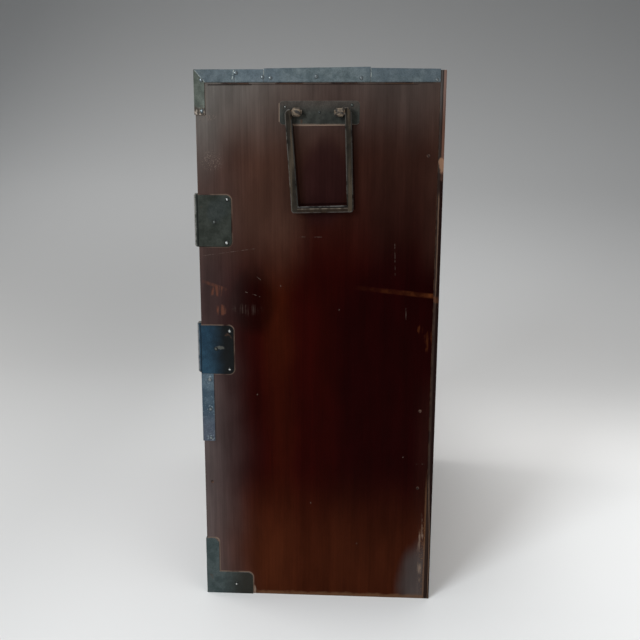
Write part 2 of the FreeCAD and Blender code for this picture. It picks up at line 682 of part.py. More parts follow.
def lock_case():
    """The lock's iron box behind the stile, with a channel for the bolt and a key hole."""
    body = new_body("door_lock_case")
    right = "door_left_x + lock_case_width"
    low, high = "keyhole_z - lock_case_height / 2", "keyhole_z + lock_case_height / 2"
    pad(body, outline(body, "XZ", "door_rear_y", rectangle("door_left_x", low, right, high)),
        "lock_case_depth")
    half_y, half_z = "(bolt_thickness / 2 + bolt_play)", "(bolt_height / 2 + bolt_play)"
    channel = rectangle("bolt_y - " + half_y, "keyhole_z - " + half_z,
                        "bolt_y + " + half_y, "keyhole_z + " + half_z)
    pocket(body, outline(body, "YZ", "door_left_x", channel), "bolt_length + 2 * bolt_play")
    pocket(body, circle(body, "XZ", "door_rear_y", "keyhole_radius", ("lock_x", "keyhole_z")),
           "lock_case_depth / 2")
    return node(body, "door_lock_case")


def door_bolt():
    """The bolt, drawn back; it slides out of the door into the partition."""
    half_y, half_z = "bolt_thickness / 2", "bolt_height / 2"
    return node(box("door_bolt", ("door_left_x", "bolt_y - " + half_y, "keyhole_z - " + half_z), (
        "door_left_x + bolt_length", "bolt_y + " + half_y, "keyhole_z + " + half_z)), "door_bolt")


# ---- Drop handles: one shape serves the drawers and the door ----

def pull_post(label, middle_x, face_y, axis_z, reach):
    """A lug with a hole for the pull's pin, and a square tang driven into the wood."""
    body = new_body(label)
    axis = face_y + " - pull_standoff"
    start = "%s - post_width / 2" % middle_x
    pad(body, circle(body, "YZ", start, "post_radius", (axis, axis_z)), "post_width")
    neck = rectangle(axis, axis_z + " - post_radius", face_y + " - " + reach, axis_z + " + post_radius")
    pad(body, outline(body, "YZ", start, neck), "post_width")
    tang = square((middle_x, axis_z), "post_tang")
    pad(body, outline(body, "XZ", face_y + " - " + reach, tang), "post_grip")
    pocket(body, circle(body, "YZ", start, "pull_pin + pin_play", (axis, axis_z)), "post_width")
    return body


def pull_bail(label, middle_x, face_y, axis_z, half, drop):
    """A square-cornered drop handle bent from one bar, pinned through its two posts."""
    body = new_body(label)
    axis = face_y + " - pull_standoff"
    inner = "(%s + post_width / 2 + leg_play)" % half
    outer = "(%s + pull_bar)" % inner
    low, high = "%s - %s" % (axis_z, drop), axis_z + " + pull_bar / 2"
    pad(body, outline(body, "XZ", axis + " - pull_bar / 2", [
        (middle_x + " - " + outer, high), (middle_x + " - " + outer, low),
        (middle_x + " + " + outer, low), (middle_x + " + " + outer, high),
        (middle_x + " + " + inner, high), (middle_x + " + " + inner, low + " + pull_bar"),
        (middle_x + " - " + inner, low + " + pull_bar"), (middle_x + " - " + inner, high)]),
        "pull_bar")
    soften(body, "Chamfer", "pull_foot_cut", along(
        "Y", (middle_x + " - " + outer, low), (middle_x + " + " + outer, low)))
    soften(body, "Chamfer", "pull_shoulder_cut", along(
        "Y", (middle_x + " - " + outer, high), (middle_x + " + " + outer, high)))
    soften(body, "Chamfer", "pull_bevel", facing(
        "Y", axis + " - pull_bar / 2", axis + " + pull_bar / 2"))
    grip = "post_width + leg_play + pin_tip"
    for start in ("%s - %s" % (middle_x, inner), "%s + %s - (%s)" % (middle_x, inner, grip)):
        pad(body, circle(body, "YZ", start, "pull_pin", (axis, axis_z)), grip)
    return node(body, label)


# ---- The carrying handle on each side ----

def handle_plate():
    """The plate under the handle's eyes, with round corners and holes for their tangs."""
    body = new_body("side_handle_plate_right")
    half, rise = "handle_plate_length / 2", "handle_plate_height / 2"
    whole = rectangle("-" + half, "handle_z - " + rise, half, "handle_z + " + rise)
    pad(body, outline(body, "YZ", "side_x", whole), "iron_thickness")
    soften(body, "Fillet", "handle_plate_corner", along(
        "X", *[(across, "handle_z " + up) for across in ("-" + half, half)
               for up in ("- " + rise, "+ " + rise)]))
    pocket(body, tang_holes(body, "YZ", "side_x", "eye_tang", *EYES), "iron_thickness")
    node(body, "side_handle_plate_right")
    node(mirrored("side_handle_plate_left", body), "side_handle_plate_left")


def handle_eyes():
    """Forged eyes, each with a hole across it and a tang driven through plate and side."""
    eyes = []
    for name, spot in zip(("front", "rear"), EYES):
        body = new_body("handle_eye_" + name)
        start = spot[0] + " - eye_width / 2"
        middle = ("eye_x", "handle_z")
        pad(body, circle(body, "XZ", start, "eye_radius", middle), "eye_width")
        soften(body, "Chamfer", "eye_chamfer", facing("Y", start, start + " + eye_width"))
        tang = outline(body, "YZ", "side_x - eye_grip", square(spot, "eye_tang"))
        pad(body, tang, "eye_grip + handle_standoff - handle_pin")
        pocket(body, circle(body, "XZ", start, "handle_pin + pin_play", middle), "eye_width")
        eyes.append(body)
    right = group("side_handle_eyes_right", eyes)
    node(mirrored("side_handle_eyes_left", right), "side_handle_eyes_left")


def side_handle():
    """A drop handle forged from one square bar, its pins turned in through the eyes."""
    body = new_body("side_handle_right")
    low, bar = "handle_low_z", "handle_bar"
    front, rear = "-(handle_top_half + handle_offset)", "handle_top_half - handle_offset"
    front_high, rear_high = "handle_z + handle_front_rise", "handle_z + handle_rear_rise"
    front_low, rear_low = low + " - handle_skew", low + " + handle_skew"
    pad(body, outline(body, "YZ", "eye_x - handle_bar / 2", [
        (front, front_high), ("-handle_foot_front", front_low), ("handle_foot_rear", rear_low),
        (rear, rear_high), (rear + " - " + bar, rear_high),
        ("handle_foot_rear - " + bar, rear_low + " + " + bar),
        (bar + " - handle_foot_front", front_low + " + " + bar),
        (front + " + " + bar, front_high)]), "handle_bar")
    soften(body, "Fillet", "handle_bend", along(
        "X", ("-handle_foot_front", front_low), ("handle_foot_rear", rear_low)))
    soften(body, "Fillet", "handle_shoulder", along("X", (front, front_high), (rear, rear_high)))
    soften(body, "Chamfer", "handle_bevel", facing(
        "X", "eye_x - handle_bar / 2", "eye_x + handle_bar / 2"))
    root, tip = "handle_top_half - %s / 2" % bar, "eye_centre - eye_width / 2 - handle_tip"
    for start in ("-(%s) - handle_offset" % root, "%s - handle_offset" % tip):
        pad(body, circle(body, "XZ", start, "handle_pin", ("eye_x", "handle_z")),
            "%s - (%s)" % (root, tip))
    node(body, "side_handle_right")
    node(mirrored("side_handle_left", body), "side_handle_left")


# ---- Drawers ----

def drawer(name, left, right, floor, ceiling, pulls):
    """A drawer: a rebated front, a nailed tray, its iron fittings and its drop handles."""
    left, right = "%s + drawer_gap" % left, "%s - drawer_gap" % right
    low, high = "%s + drawer_rest" % floor, "%s - drawer_gap" % ceiling
    rear = "front_y + drawer_front_thickness"
    seat = rear + " - drawer_rebate"
    side, deck = "drawer_side_thickness", "drawer_bottom_thickness"
    tail = "rear_y - drawer_rear_room"

    front = new_body(name + "_front")
    pad(front, outline(front, "XZ", "front_y", rectangle(left, low, right, high)),
        "drawer_front_thickness")
    rebates = [rectangle(left, low, left + " + " + side, high),
               rectangle("%s - %s" % (right, side), low, right, high)]
    pocket(front, outline(front, "XZ", seat, *rebates), "drawer_rebate")
    floor_rebate = rectangle(left, low, right, low + " + " + deck)
    pocket(front, outline(front, "XZ", seat, floor_rebate), "drawer_rebate")
    node(front, name + "_front")

    top = high + " - drawer_drop"
    boards = [
        box(name + "_bottom", (left, seat, low), (right, tail, "%s + %s" % (low, deck))),
        box(name + "_left_side", (left, seat, "%s + %s" % (low, deck)),
            ("%s + %s" % (left, side), tail, top)),
        box(name + "_right_side", ("%s - %s" % (right, side), seat, "%s + %s" % (low, deck)),
            (right, tail, top)),
        box(name + "_rear", ("%s + %s" % (left, side), "%s - %s" % (tail, side),
                             "%s + %s" % (low, deck)), ("%s - %s" % (right, side), tail, top))]
    group(name + "_tray", boards)

    axis_z = "((%s) + (%s)) / 2 + pull_drop / 3" % (low, high)
    irons = []
    for index, middle_x in enumerate(pulls, start=1):
        plate = new_body("%s_pull_plate_%d" % (name, index))
        half = "(pull_half + pull_plate_margin)"
        pad(plate, outline(plate, "XZ", "front_y - front_iron", rectangle(
            "%s - %s" % (middle_x, half), axis_z + " - pull_plate_height / 2",
            "%s + %s" % (middle_x, half), axis_z + " + pull_plate_height / 2")), "front_iron")
        spots = [("%s %s pull_half" % (middle_x, sign), axis_z) for sign in "-+"]
        pocket(plate, tang_holes(plate, "XZ", "front_y - front_iron", "post_tang", *spots),
               "front_iron")
        irons.append(plate)
        irons += [pull_post("%s_post_%d%s" % (name, index, end), across, "front_y", axis_z,
                            "front_iron") for end, (across, _) in zip("ab", spots)]
        pocket(front, tang_holes(front, "XZ", "front_y", "post_tang", *spots), "post_grip")
        pull_bail("%s_pull_%d" % (name, index) if len(pulls) > 1 else name + "_pull",
                  middle_x, "front_y", axis_z, "pull_half", "pull_drop")
    irons += corner_plates(name, left, right, low, high)
    group(name + "_irons", irons)


def corner_plates(name, left, right, low, high):
    """Four thin angle plates on the corners of a drawer front."""
    plates = []
    for index, (x, z, east, north) in enumerate((
            (left, low, "+", "+"), (right, low, "-", "+"),
            (right, high, "-", "-"), (left, high, "+", "-"))):
        body = new_body("%s_corner_%d" % (name, index + 1))
        far_x, far_z = "%s %s corner_plate" % (x, east), "%s %s corner_plate" % (z, north)
        band_x = "%s %s corner_plate_width" % (x, east)
        band_z = "%s %s corner_plate_width" % (z, north)
        pad(body, outline(body, "XZ", "front_y - front_iron", [
            (x, z), (far_x, z), (far_x, band_z), (band_x, band_z), (band_x, far_z), (x, far_z)]),
            "front_iron")
        plates.append(body)
    return plates


# ---- The whole chest ----

side_board("side_board_right", 1, "compartment_shelf_z", "compartment_shelf_thickness",
           "compartment_shelf_setback")
side_board("side_board_left", -1, "stack_shelf_z", "stack_shelf_thickness", "housing_stop")
top_board()
bottom_board()
shelf("lower_shelf", "lower_shelf_z", None)
shelf("middle_shelf", "middle_shelf_z", "door_floor_z - housing_depth")
shelf("upper_shelf", "upper_shelf_z", "upper_shelf_z")
partition()
stack_shelf()
compartment_shelf()
back_boards()
side_top_strap()
front_top_strap()
front_corner_straps()
front_edge_straps()
foot_irons()
group("hinge_pins", [hinge("lower", "lower_hinge_z"), hinge("upper", "upper_hinge_z")])
handle_plate()
handle_eyes()
side_handle()
door_stiles()
door_rails()
door_panel()
lock_plate()
keyhole_cover()
lock_case()
door_bolt()
group("door_pull_posts", [
    pull_post("door_post_" + end, across, "front_y", axis_z, "iron_thickness")
    for end, (across, axis_z) in zip("ab", DOOR_POSTS)])
pull_bail("door_pull", "lock_x", "front_y", DOOR_PULL_Z, "door_pull_half", "door_pull_drop")

outer_pulls = ["(pull_inset - inner_x)", "(inner_x - pull_inset)"]
stack_middle = ["((partition_left_x - inner_x) / 2)"]
drawer("bottom_drawer", "-inner_x", "inner_x", "base_thickness", "lower_shelf_z", outer_pulls)
drawer("middle_drawer", "-inner_x", "inner_x", "lower_shelf_z + shelf_thickness",
       "middle_shelf_z", outer_pulls)
drawer("top_drawer", "-inner_x", "inner_x", "upper_shelf_z + shelf_thickness",
       "ceiling_z", outer_pulls)
drawer("lower_stack_drawer", "-inner_x", "partition_left_x", "door_floor_z",
       "stack_shelf_z", stack_middle)
drawer("upper_stack_drawer", "-inner_x", "partition_left_x",
       "stack_shelf_z + stack_shelf_thickness", "upper_shelf_z", stack_middle)

doc.recompute()
for thing in doc.Objects:
    if "Invalid" in thing.State or "Error" in thing.State:
        raise RuntimeError("%s failed: %s" % (thing.Name, thing.State))
for thing in nodes:
    if thing.Shape.isNull() or not thing.Shape.isValid():
        raise RuntimeError(thing.Label + " has no valid shape")

os.makedirs("parts", exist_ok=True)
for thing in nodes:
    thing.Shape.exportStep("parts/%s.step" % thing.Label)
    print(thing.Label, len(thing.Shape.Solids), "solids")
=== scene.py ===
import math
import random

import bpy
from mathutils import Euler, Matrix, Vector


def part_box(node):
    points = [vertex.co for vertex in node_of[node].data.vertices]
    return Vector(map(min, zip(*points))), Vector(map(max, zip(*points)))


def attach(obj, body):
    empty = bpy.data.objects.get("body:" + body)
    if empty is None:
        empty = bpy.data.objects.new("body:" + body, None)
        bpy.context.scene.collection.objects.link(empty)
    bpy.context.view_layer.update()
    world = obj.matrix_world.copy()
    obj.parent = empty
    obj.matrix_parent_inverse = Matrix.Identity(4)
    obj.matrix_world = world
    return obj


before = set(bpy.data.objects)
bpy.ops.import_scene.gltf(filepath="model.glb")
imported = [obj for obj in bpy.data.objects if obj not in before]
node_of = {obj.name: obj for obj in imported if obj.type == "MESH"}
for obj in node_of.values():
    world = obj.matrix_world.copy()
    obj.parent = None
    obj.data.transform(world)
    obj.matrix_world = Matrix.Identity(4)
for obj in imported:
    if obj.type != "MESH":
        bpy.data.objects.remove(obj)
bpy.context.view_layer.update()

# ---- Floor, light and camera ----
# A pale floor that sweeps up into a wall, two big soft lamps and two low fills. The camera
# looks almost square at the right side of the chest, from a little below its top.

scene = bpy.context.scene
scene.view_settings.view_transform = "Standard"

CAMERA_AWAY, CAMERA_ASIDE, CAMERA_HEIGHT = 1.1955, 0.0020, 0.7283
CAMERA_PITCH, CAMERA_TURN, CAMERA_ROLL = math.radians(11.2), math.radians(2.84), math.radians(0.23)
CAMERA_LENS = 42.19

camera_data = bpy.data.cameras.new("camera")
camera_data.lens = CAMERA_LENS
camera = bpy.data.objects.new("camera", camera_data)
camera.location = (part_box("side_board_right")[1].x + CAMERA_AWAY * math.cos(CAMERA_TURN),
                   CAMERA_AWAY * math.sin(CAMERA_TURN) + CAMERA_ASIDE, CAMERA_HEIGHT)
level = Euler((math.pi / 2 - CAMERA_PITCH, 0, math.pi / 2 + CAMERA_TURN)).to_matrix()
camera.rotation_euler = (level @ Matrix.Rotation(CAMERA_ROLL, 3, "Z")).to_euler()
scene.collection.objects.link(camera)
scene.camera = camera

LAMPS = (
    # name, place, aim, width, height, watts, colour
    ("window", (2.6, -1.7, 1.75), (0.33, -0.05, 0.55), 1.1, 1.6, 62, (0.90, 0.96, 1.0)),
    ("ceiling", (0.2, 0.0, 3.0), (0.0, 0.0, 0.0), 3.2, 3.2, 60, (1.0, 0.99, 0.97)),
    ("fill", (2.2, 1.8, 0.9), (0.33, 0.0, 0.35), 1.4, 1.4, 9, (1.0, 0.93, 0.86)),
    ("front", (-0.6, -3.0, 1.3), (0.0, -0.19, 0.45), 1.6, 1.6, 40, (1.0, 0.98, 0.95)),
)
for name, place, aim, width, height, watts, colour in LAMPS:
    lamp_data = bpy.data.lights.new(name, "AREA")
    lamp_data.shape = "RECTANGLE"
    lamp_data.size, lamp_data.size_y = width, height
    lamp_data.energy = watts
    lamp_data.color = colour
    lamp = bpy.data.objects.new(name, lamp_data)
    lamp.location = place
    lamp.rotation_euler = (Vector(aim) - Vector(place)).to_track_quat("-Z", "Y").to_euler()
    scene.collection.objects.link(lamp)

ROOM_TINT, ROOM_GLOW = (0.9, 0.95, 1.0, 1), 0.12
world = bpy.data.worlds.new("room")
world.use_nodes = True
room = world.node_tree.nodes["Background"].inputs
room["Color"].default_value, room["Strength"].default_value = ROOM_TINT, ROOM_GLOW
scene.world = world


class Wire:
    """A socket in a material. Sums written with it become Math nodes."""

    def __init__(self, tree, socket=None):
        self.tree = tree
        self.socket = socket

    def node(self, kind, settings=None, sockets=None, output=0):
        """Adds a node: first its settings, then the value or the link of each socket."""
        made = self.tree.nodes.new("ShaderNode" + kind)
        for setting, given in (settings or {}).items():
            setattr(made, setting, given)
        for name, given in (sockets or {}).items():
            if isinstance(given, Wire):
                self.tree.links.new(given.socket, made.inputs[name])
            else:
                made.inputs[name].default_value = given
        return Wire(self.tree, made.outputs[output])

    def math(self, operation, *others):
        values = dict(enumerate((self, *others)))
        return self.node("Math", {"operation": operation}, values)

    def __add__(self, other):
        return self.math("ADD", other)

    def __sub__(self, other):
        return self.math("SUBTRACT", other)

    def __rsub__(self, other):
        return (self * -1).math("ADD", other)

    def __mul__(self, other):
        return self.math("MULTIPLY", other)

    __radd__ = __add__
    __rmul__ = __mul__

    def ramp(self, start, end):
        """0 at start and before it, 1 at end and past it, smooth between them."""
        return self.node("MapRange", {"interpolation_type": "SMOOTHSTEP"},
                         {"Value": self, "From Min": start, "From Max": end})

    def choose(self, where_0, where_1):
        """A colour that goes from one to the other with this mask."""
        return self.node("Mix", {"data_type": "RGBA"}, {0: self, 6: where_0, 7: where_1}, 2)

    def shade(self, amount):
        """This colour made lighter or darker by a factor."""
        return self.node("VectorMath", {"operation": "SCALE"}, {0: self, "Scale": amount})

    def noise(self, scale, detail=2.0, stretch=(1, 1, 1), shift=(0, 0, 0)):
        """Soft noise around 0.5, read at this place."""
        drawn = self.node("Mapping", None, {"Vector": self, "Location": shift, "Scale": stretch})
        return self.node("TexNoise", None, {"Vector": drawn, "Scale": scale, "Detail": detail})


def new_finish(name):
    """A material, its shader's sockets, and the place on the object with its x, y and z."""
    finish = bpy.data.materials.new(name)
    finish.use_nodes = True
    place = Wire(finish.node_tree).node("TexCoord", output=3)
    across, along, up = [place.node("SeparateXYZ", None, {0: place}, axis) for axis in range(3)]
    return finish, finish.node_tree.nodes["Principled BSDF"].inputs, place, across, along, up


def connect(socket, wire):
    wire.tree.links.new(wire.socket, socket)


def bump(height, depth):
    """A bump of a height mask, in metres."""
    return height.node("Bump", None, {"Height": height, "Distance": depth, "Strength": 1.0})


FLOOR_FRONT, FLOOR_BACK, WALL_HEIGHT, SWEEP_RADIUS, FLOOR_HALF = 4.0, -4.0, 5.0, 2.8, 7.0
SWEEP_STEPS = 24
FAR_FLOOR, NEAR_FLOOR, HIGH_WALL = [(grey, grey, grey, 1) for grey in (0.66, 0.82, 0.41)]
bpy.ops.object.select_all(action="DESELECT")
bpy.ops.mesh.primitive_plane_add(size=1, location=(0, 0, 0))
floor = bpy.context.object
floor.name = "floor"
floor.data.transform(Matrix.Diagonal((FLOOR_FRONT - FLOOR_BACK, 2 * FLOOR_HALF, 1, 1)))
floor.data.transform(Matrix.Translation(((FLOOR_FRONT + FLOOR_BACK) / 2, 0, 0)))
bpy.ops.object.mode_set(mode="EDIT")
bpy.ops.mesh.select_all(action="DESELECT")
bpy.ops.object.mode_set(mode="OBJECT")
for edge in floor.data.edges:
    edge.select = all(abs(floor.data.vertices[v].co.x - FLOOR_BACK) < 1e-4 for v in edge.vertices)
bpy.ops.object.mode_set(mode="EDIT")
bpy.ops.mesh.extrude_edges_move(TRANSFORM_OT_translate={"value": (0, 0, WALL_HEIGHT)})
bpy.ops.object.mode_set(mode="OBJECT")
sweep = floor.modifiers.new("sweep", "BEVEL")
sweep.width, sweep.segments, sweep.limit_method = SWEEP_RADIUS, SWEEP_STEPS, "ANGLE"
bpy.ops.object.modifier_apply(modifier=sweep.name)
bpy.ops.object.shade_smooth()

paper, paper_sockets, place, across, along, up = new_finish("floor_paper")
# painted light: the paper is darker far off and up the wall, as if the light fell off there
tone = across.ramp(-2.2, 0.9).choose(FAR_FLOOR, NEAR_FLOOR)
tone = up.ramp(0.0, 2.2).choose(tone, HIGH_WALL)
# painted light: evens out what the lamps give from left to right, and lifts the chest's cast
# shadow on the floor beside it
wall = up.ramp(0.0, 0.7)
even = along.ramp(-1.1, 1.2) * 0.42 + 0.86 - along.ramp(-0.3, -0.7) * 0.10
even = even * (1 - wall) + (1.035 - along.ramp(-1.5, 1.5) * 0.07) * wall
shadow_lift = (across + 0.15).math("ABSOLUTE").ramp(1.0, 0.1)
shadow_lift = shadow_lift * along.ramp(0.15, 0.55) * along.ramp(1.3, 0.7)
connect(paper_sockets["Base Color"], tone.shade(even + shadow_lift * 0.33))
paper_sockets["Roughness"].default_value = 0.9
paper_sockets["Specular IOR Level"].default_value = 0.1
floor.data.materials.append(paper)


# ---- The two side boards ----
# Wide softwood boards with upright grain, under thin brown-black lacquer that has gone hazy
# at the top and the front edge (with a painted sheen mixed into that haze), thin over the foot,
# and is rubbed through at the lower edges. Painted shadow lies below the irons and along the
# handles.
# Their inner faces are bare, and flat nail heads show where each shelf is nailed.

FRONT_Y, REAR_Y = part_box("side_board_right")[0].y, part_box("side_board_right")[1].y
SIDE_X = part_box("side_board_right")[1].x
CASE_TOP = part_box("side_board_right")[1].z
WELD_REACH, FLAT_WITHIN, SHARP_FROM = 2e-6, math.radians(0.2), math.radians(35)
BOARD_EASE = 0.0008


def round_edges(names, width):
    """Eases the sharp edges of CAD nodes, as a plane or a file does."""
    for name in names:
        piece = node_of[name]
        weld = piece.modifiers.new("weld", "WELD")
        weld.merge_threshold = WELD_REACH
        merge = piece.modifiers.new("merge", "DECIMATE")
        merge.decimate_type, merge.angle_limit = "DISSOLVE", FLAT_WITHIN
        ease = piece.modifiers.new("ease", "BEVEL")
        ease.width, ease.segments, ease.limit_method = width, 2, "ANGLE"
        ease.angle_limit = SHARP_FROM
        shading = piece.modifiers.new("shading", "WEIGHTED_NORMAL")
        shading.keep_sharp = False


def dress(names, finish):
    """Gives CAD nodes their finish."""
    for name in names:
        node_of[name].data.materials.clear()
        node_of[name].data.materials.append(finish)


def edges_of(place):
    """A mask that is 0 on flat faces square to the chest and rises on rounded edges."""
    facing = place.node("TexCoord", output=1)
    flat = None
    for axis in range(3):
        part = facing.node("SeparateXYZ", None, {0: facing}, axis)
        part = part * part
        flat = part * part if flat is None else flat + part * part
    return (1 - flat).ramp(0.04, 0.4)


def strongest(masks):
    """The highest of several masks at each place."""
    highest = None
    for mask in masks:
        highest = mask if highest is None else highest.math("MAXIMUM", mask)
    return highest


def stroke(along, up, start, end, width):
    """A mask for a thin scratch between two (along, up) points."""
    run, rise = end[0] - start[0], end[1] - start[1]
    length = run * run + rise * rise
    from_y, from_z = along - start[0], up - start[1]
    share = from_y * (run / length) + from_z * (rise / length)
    share = share.node("Clamp", None, {"Value": share})
    off_y, off_z = from_y - share * run, from_z - share * rise
    return (off_y * off_y + off_z * off_z).ramp(width * width, 0.0)


def patch(along, up, middle, half_along, half_up, ragged):
    """A mask for a worn patch with a ragged edge, 1 in its middle."""
    off_y, off_z = (along - middle[0]) * (1 / half_along), (up - middle[1]) * (1 / half_up)
    return (off_y * off_y + off_z * off_z + (ragged - 0.5) * 3.0).ramp(1.3, 0.3)


def distance(along, up, low, high, corner):
    """How far a place is outside a rectangle with rounded corners, less than 0 inside it."""
    off = []
    for place, first, last in ((along, low[0], high[0]), (up, low[1], high[1])):
        off.append((place - (first + last) / 2).math("ABSOLUTE") - ((last - first) / 2 - corner))
    past = [part.math("MAXIMUM", 0.0) for part in off]
    outside = (past[0] * past[0] + past[1] * past[1]).math("SQRT")
    return outside + off[0].math("MAXIMUM", off[1]).math("MINIMUM", 0.0) - corner


def paint(sockets, colour, rough, relief, specular):
    """Gives a finish its colour, roughness and bumps, and sets how strongly it mirrors."""
    connect(sockets["Base Color"], colour)
    connect(sockets["Roughness"], rough)
    connect(sockets["Normal"], relief)
    sockets["Specular IOR Level"].default_value = specular


def board_grain(place, stretch, shift):
    """Flat-sawn growth lines that follow a board's length: 0 pale wood, 1 a dark line."""
    field = place.noise(3.6, 1.5, stretch, shift)
    band = (field * 46).math("FRACT")
    return band.ramp(0.30, 0.92) * band.ramp(1.0, 0.94)


DEEP_RED = (0.0085, 0.0004, 0.0005, 1)
OX_RED = (0.0158, 0.0010, 0.0006, 1)
AMBER = (0.0305, 0.0044, 0.0014, 1)
FOOT_BROWN = (0.0470, 0.0108, 0.0038, 1)
VEIL_BROWN = (0.0560, 0.0270, 0.0185, 1)
HAZE_AND_SHEEN = (0.115, 0.104, 0.094, 1)
EDGE_VEIL_AND_SHEEN = (0.086, 0.067, 0.064, 1)
PLUM = (0.0130, 0.0048, 0.0058, 1)
COOL_HAZE = (0.064, 0.053, 0.050, 1)
RUBBED = (0.150, 0.078, 0.040, 1)
RAW_ORANGE = (0.105, 0.040, 0.025, 1)
BURNT_ORANGE = (0.105, 0.030, 0.009, 1)
PALE_MARK = (0.16, 0.12, 0.10, 1)
TAN_LINE = (0.230, 0.165, 0.125, 1)
BARE_WOOD, BARE_LINE = (0.30, 0.205, 0.125, 1), (0.195, 0.120, 0.068, 1)

# patches on the side as (y, z): middle, half the length, half the height
DARK_SPOT = ((-0.100, 0.522), 0.044, 0.055)
BEHIND_BAIL = ((0.008, 0.716), 0.044, 0.072)
HAZY_CORNER = ((0.178, 0.040), 0.050, 0.075)
RAW_SPOTS = (((-0.1655, 0.5375), 0.013, 0.010), ((-0.160, 0.507), 0.010, 0.010))
BURNT_SPOTS = (((0.184, 0.455), 0.015, 0.020), ((0.1645, 0.476), 0.005, 0.010))
SMEAR = ((-0.118, 0.507), 0.026, 0.011)
HINGE_SCUFF, CORNER_SCUFF = ((-0.170, 0.743), 0.018, 0.018), ((-0.176, 0.810), 0.016, 0.006)
REAR_CHIPS = ((0.175, 0.095), 0.005, 0.060)
# the middles of tiny flecks, and how far each one reaches
FLECKS = ((-0.062, 0.547), (0.033, 0.509), (0.142, 0.259), (0.0665, 0.1004), (-0.013, 0.173),
          (-0.102, 0.364))
FLECK_REACH = (0.0013, 0.0018)
# thin marks as (y, z): start, end, width
BURNT_STREAK = ((0.048, 0.5465), (0.186, 0.5325), 0.0050)
SCRAPE = ((-0.1875, 0.5525), (-0.1520, 0.5405), 0.0036)
SCRATCHES = (
    ((-0.122, 0.537), (-0.096, 0.529), 0.0009), ((-0.100, 0.561), (-0.094, 0.556), 0.0009),
    ((0.1647, 0.2475), (0.184, 0.2475), 0.0007),
    ((-0.031, 0.626), (0.004, 0.626), 0.0005), ((-0.191, 0.594), (-0.100, 0.607), 0.0005),
    ((0.120, 0.621), (0.122, 0.566), 0.0005), ((0.1405, 0.512), (0.1410, 0.495), 0.0006),
)
WIDE_CRACK = ((-0.172, 0.8585), (-0.105, 0.8588), 0.0010)
FINE_CRACK = ((-0.105, 0.8588), (0.15, 0.8590), 0.0006)

side_lacquer, sockets, place, across, along, up = new_finish("side_lacquer")
drift = place.noise(5.0, 3.0)
cloud = place.noise(9.0, 4.0, (1, 1, 0.5), (3, 1, 0))
grain = place.noise(60.0, 4.0, (1, 1, 0.03))
bands = place.noise(16.0, 2.0, (1, 1, 0.05), (0, 6, 0))
pores = place.noise(420.0, 2.0, (1, 1, 0.03))
ragged = place.noise(90.0, 5.0)
streaks = place.noise(160.0, 3.0, (1, 1, 0.12))
specks = place.noise(520.0, 2.0)
soft_y = along + (drift - 0.5) * 0.05 + (bands - 0.5) * 0.04
soft_z = up + (cloud - 0.5) * 0.08

# how far each tone of the lacquer reaches
left = soft_y.ramp(-0.012, -0.058)
foot = soft_z.ramp(0.25, 0.05)
amber = (soft_y + 0.062).math("ABSOLUTE").ramp(0.040, 0.004) * up.ramp(0.68, 0.60)
amber = amber * (up.ramp(0.36, 0.46) * 0.55 + 0.45)
# the veil at the front edge and the haze at the top are old bloom and dust, with a painted sheen
# mixed in
edge = soft_y.ramp(-0.075, -0.190)
edge = edge * edge * (up.ramp(0.46, 0.38) * 0.6 + 0.4)
brown = left * soft_z.ramp(0.53, 0.655) * 0.80 + (1 - left) * soft_z.ramp(0.54, 0.80) * 0.42
hazy_from = soft_z + soft_y.ramp(-0.13, -0.185) * 0.045
haze_and_sheen = hazy_from.ramp(0.735, 0.880) * (soft_y.ramp(0.02, -0.19) * 0.64 + 0.32)
rear = along.ramp(0.150, 0.186) * up.ramp(0.54, 0.62).math("MAXIMUM", up.ramp(0.42, 0.33) * 0.5)

red_reach = soft_y - up.ramp(0.48, 0.60) * 0.045
colour = red_reach.ramp(0.060, 0.0).choose(DEEP_RED, OX_RED)
colour = amber.choose(colour, AMBER)
colour = (foot * (left * 0.25 + 0.72)).choose(colour, FOOT_BROWN)
colour = colour.shade(1 - patch(along, up, *DARK_SPOT, cloud) * 0.45)
colour = brown.choose(colour, VEIL_BROWN)
colour = (edge * 0.88).choose(colour, EDGE_VEIL_AND_SHEEN)
colour = haze_and_sheen.choose(colour, HAZE_AND_SHEEN)
colour = (rear * 0.20).choose(colour, VEIL_BROWN)
colour = (patch(along, up, *BEHIND_BAIL, cloud) * 0.60).choose(colour, PLUM)
colour = (patch(along, up, *HAZY_CORNER, cloud) * 0.85).choose(colour, COOL_HAZE)
mottle = place.noise(34.0, 4.0, (1, 1, 0.4), (0, 2, 2))
colour = colour.shade((grain.ramp(0.25, 0.75) * 0.26 + 0.87) * (pores.ramp(0.3, 0.7) * 0.14 + 0.93)
                      * (mottle.ramp(0.3, 0.7) * 0.24 + 0.88))

# the right side has taken nearly all the knocks
right_side = across.ramp(0.0, 0.1)
wear = strongest(patch(along, up, *spot, ragged) for spot in RAW_SPOTS) * streaks.ramp(0.42, 0.6)
wear = wear * (right_side * 0.9 + 0.1)
colour = (wear * 0.85).choose(colour, RAW_ORANGE)
streak = stroke(along, up, *BURNT_STREAK) * (ragged.ramp(0.40, 0.6) * 0.5 + 0.3)
streak = streak * (along.ramp(0.040, 0.15) * 0.42 + along.ramp(0.172, 0.183) * 0.8)
burnt = strongest(patch(along, up, *spot, ragged) for spot in BURNT_SPOTS)
streak = streak.math("MAXIMUM", burnt * streaks.ramp(0.40, 0.62) * 0.5)
colour = (streak * (right_side * 0.9 + 0.1)).choose(colour, BURNT_ORANGE)

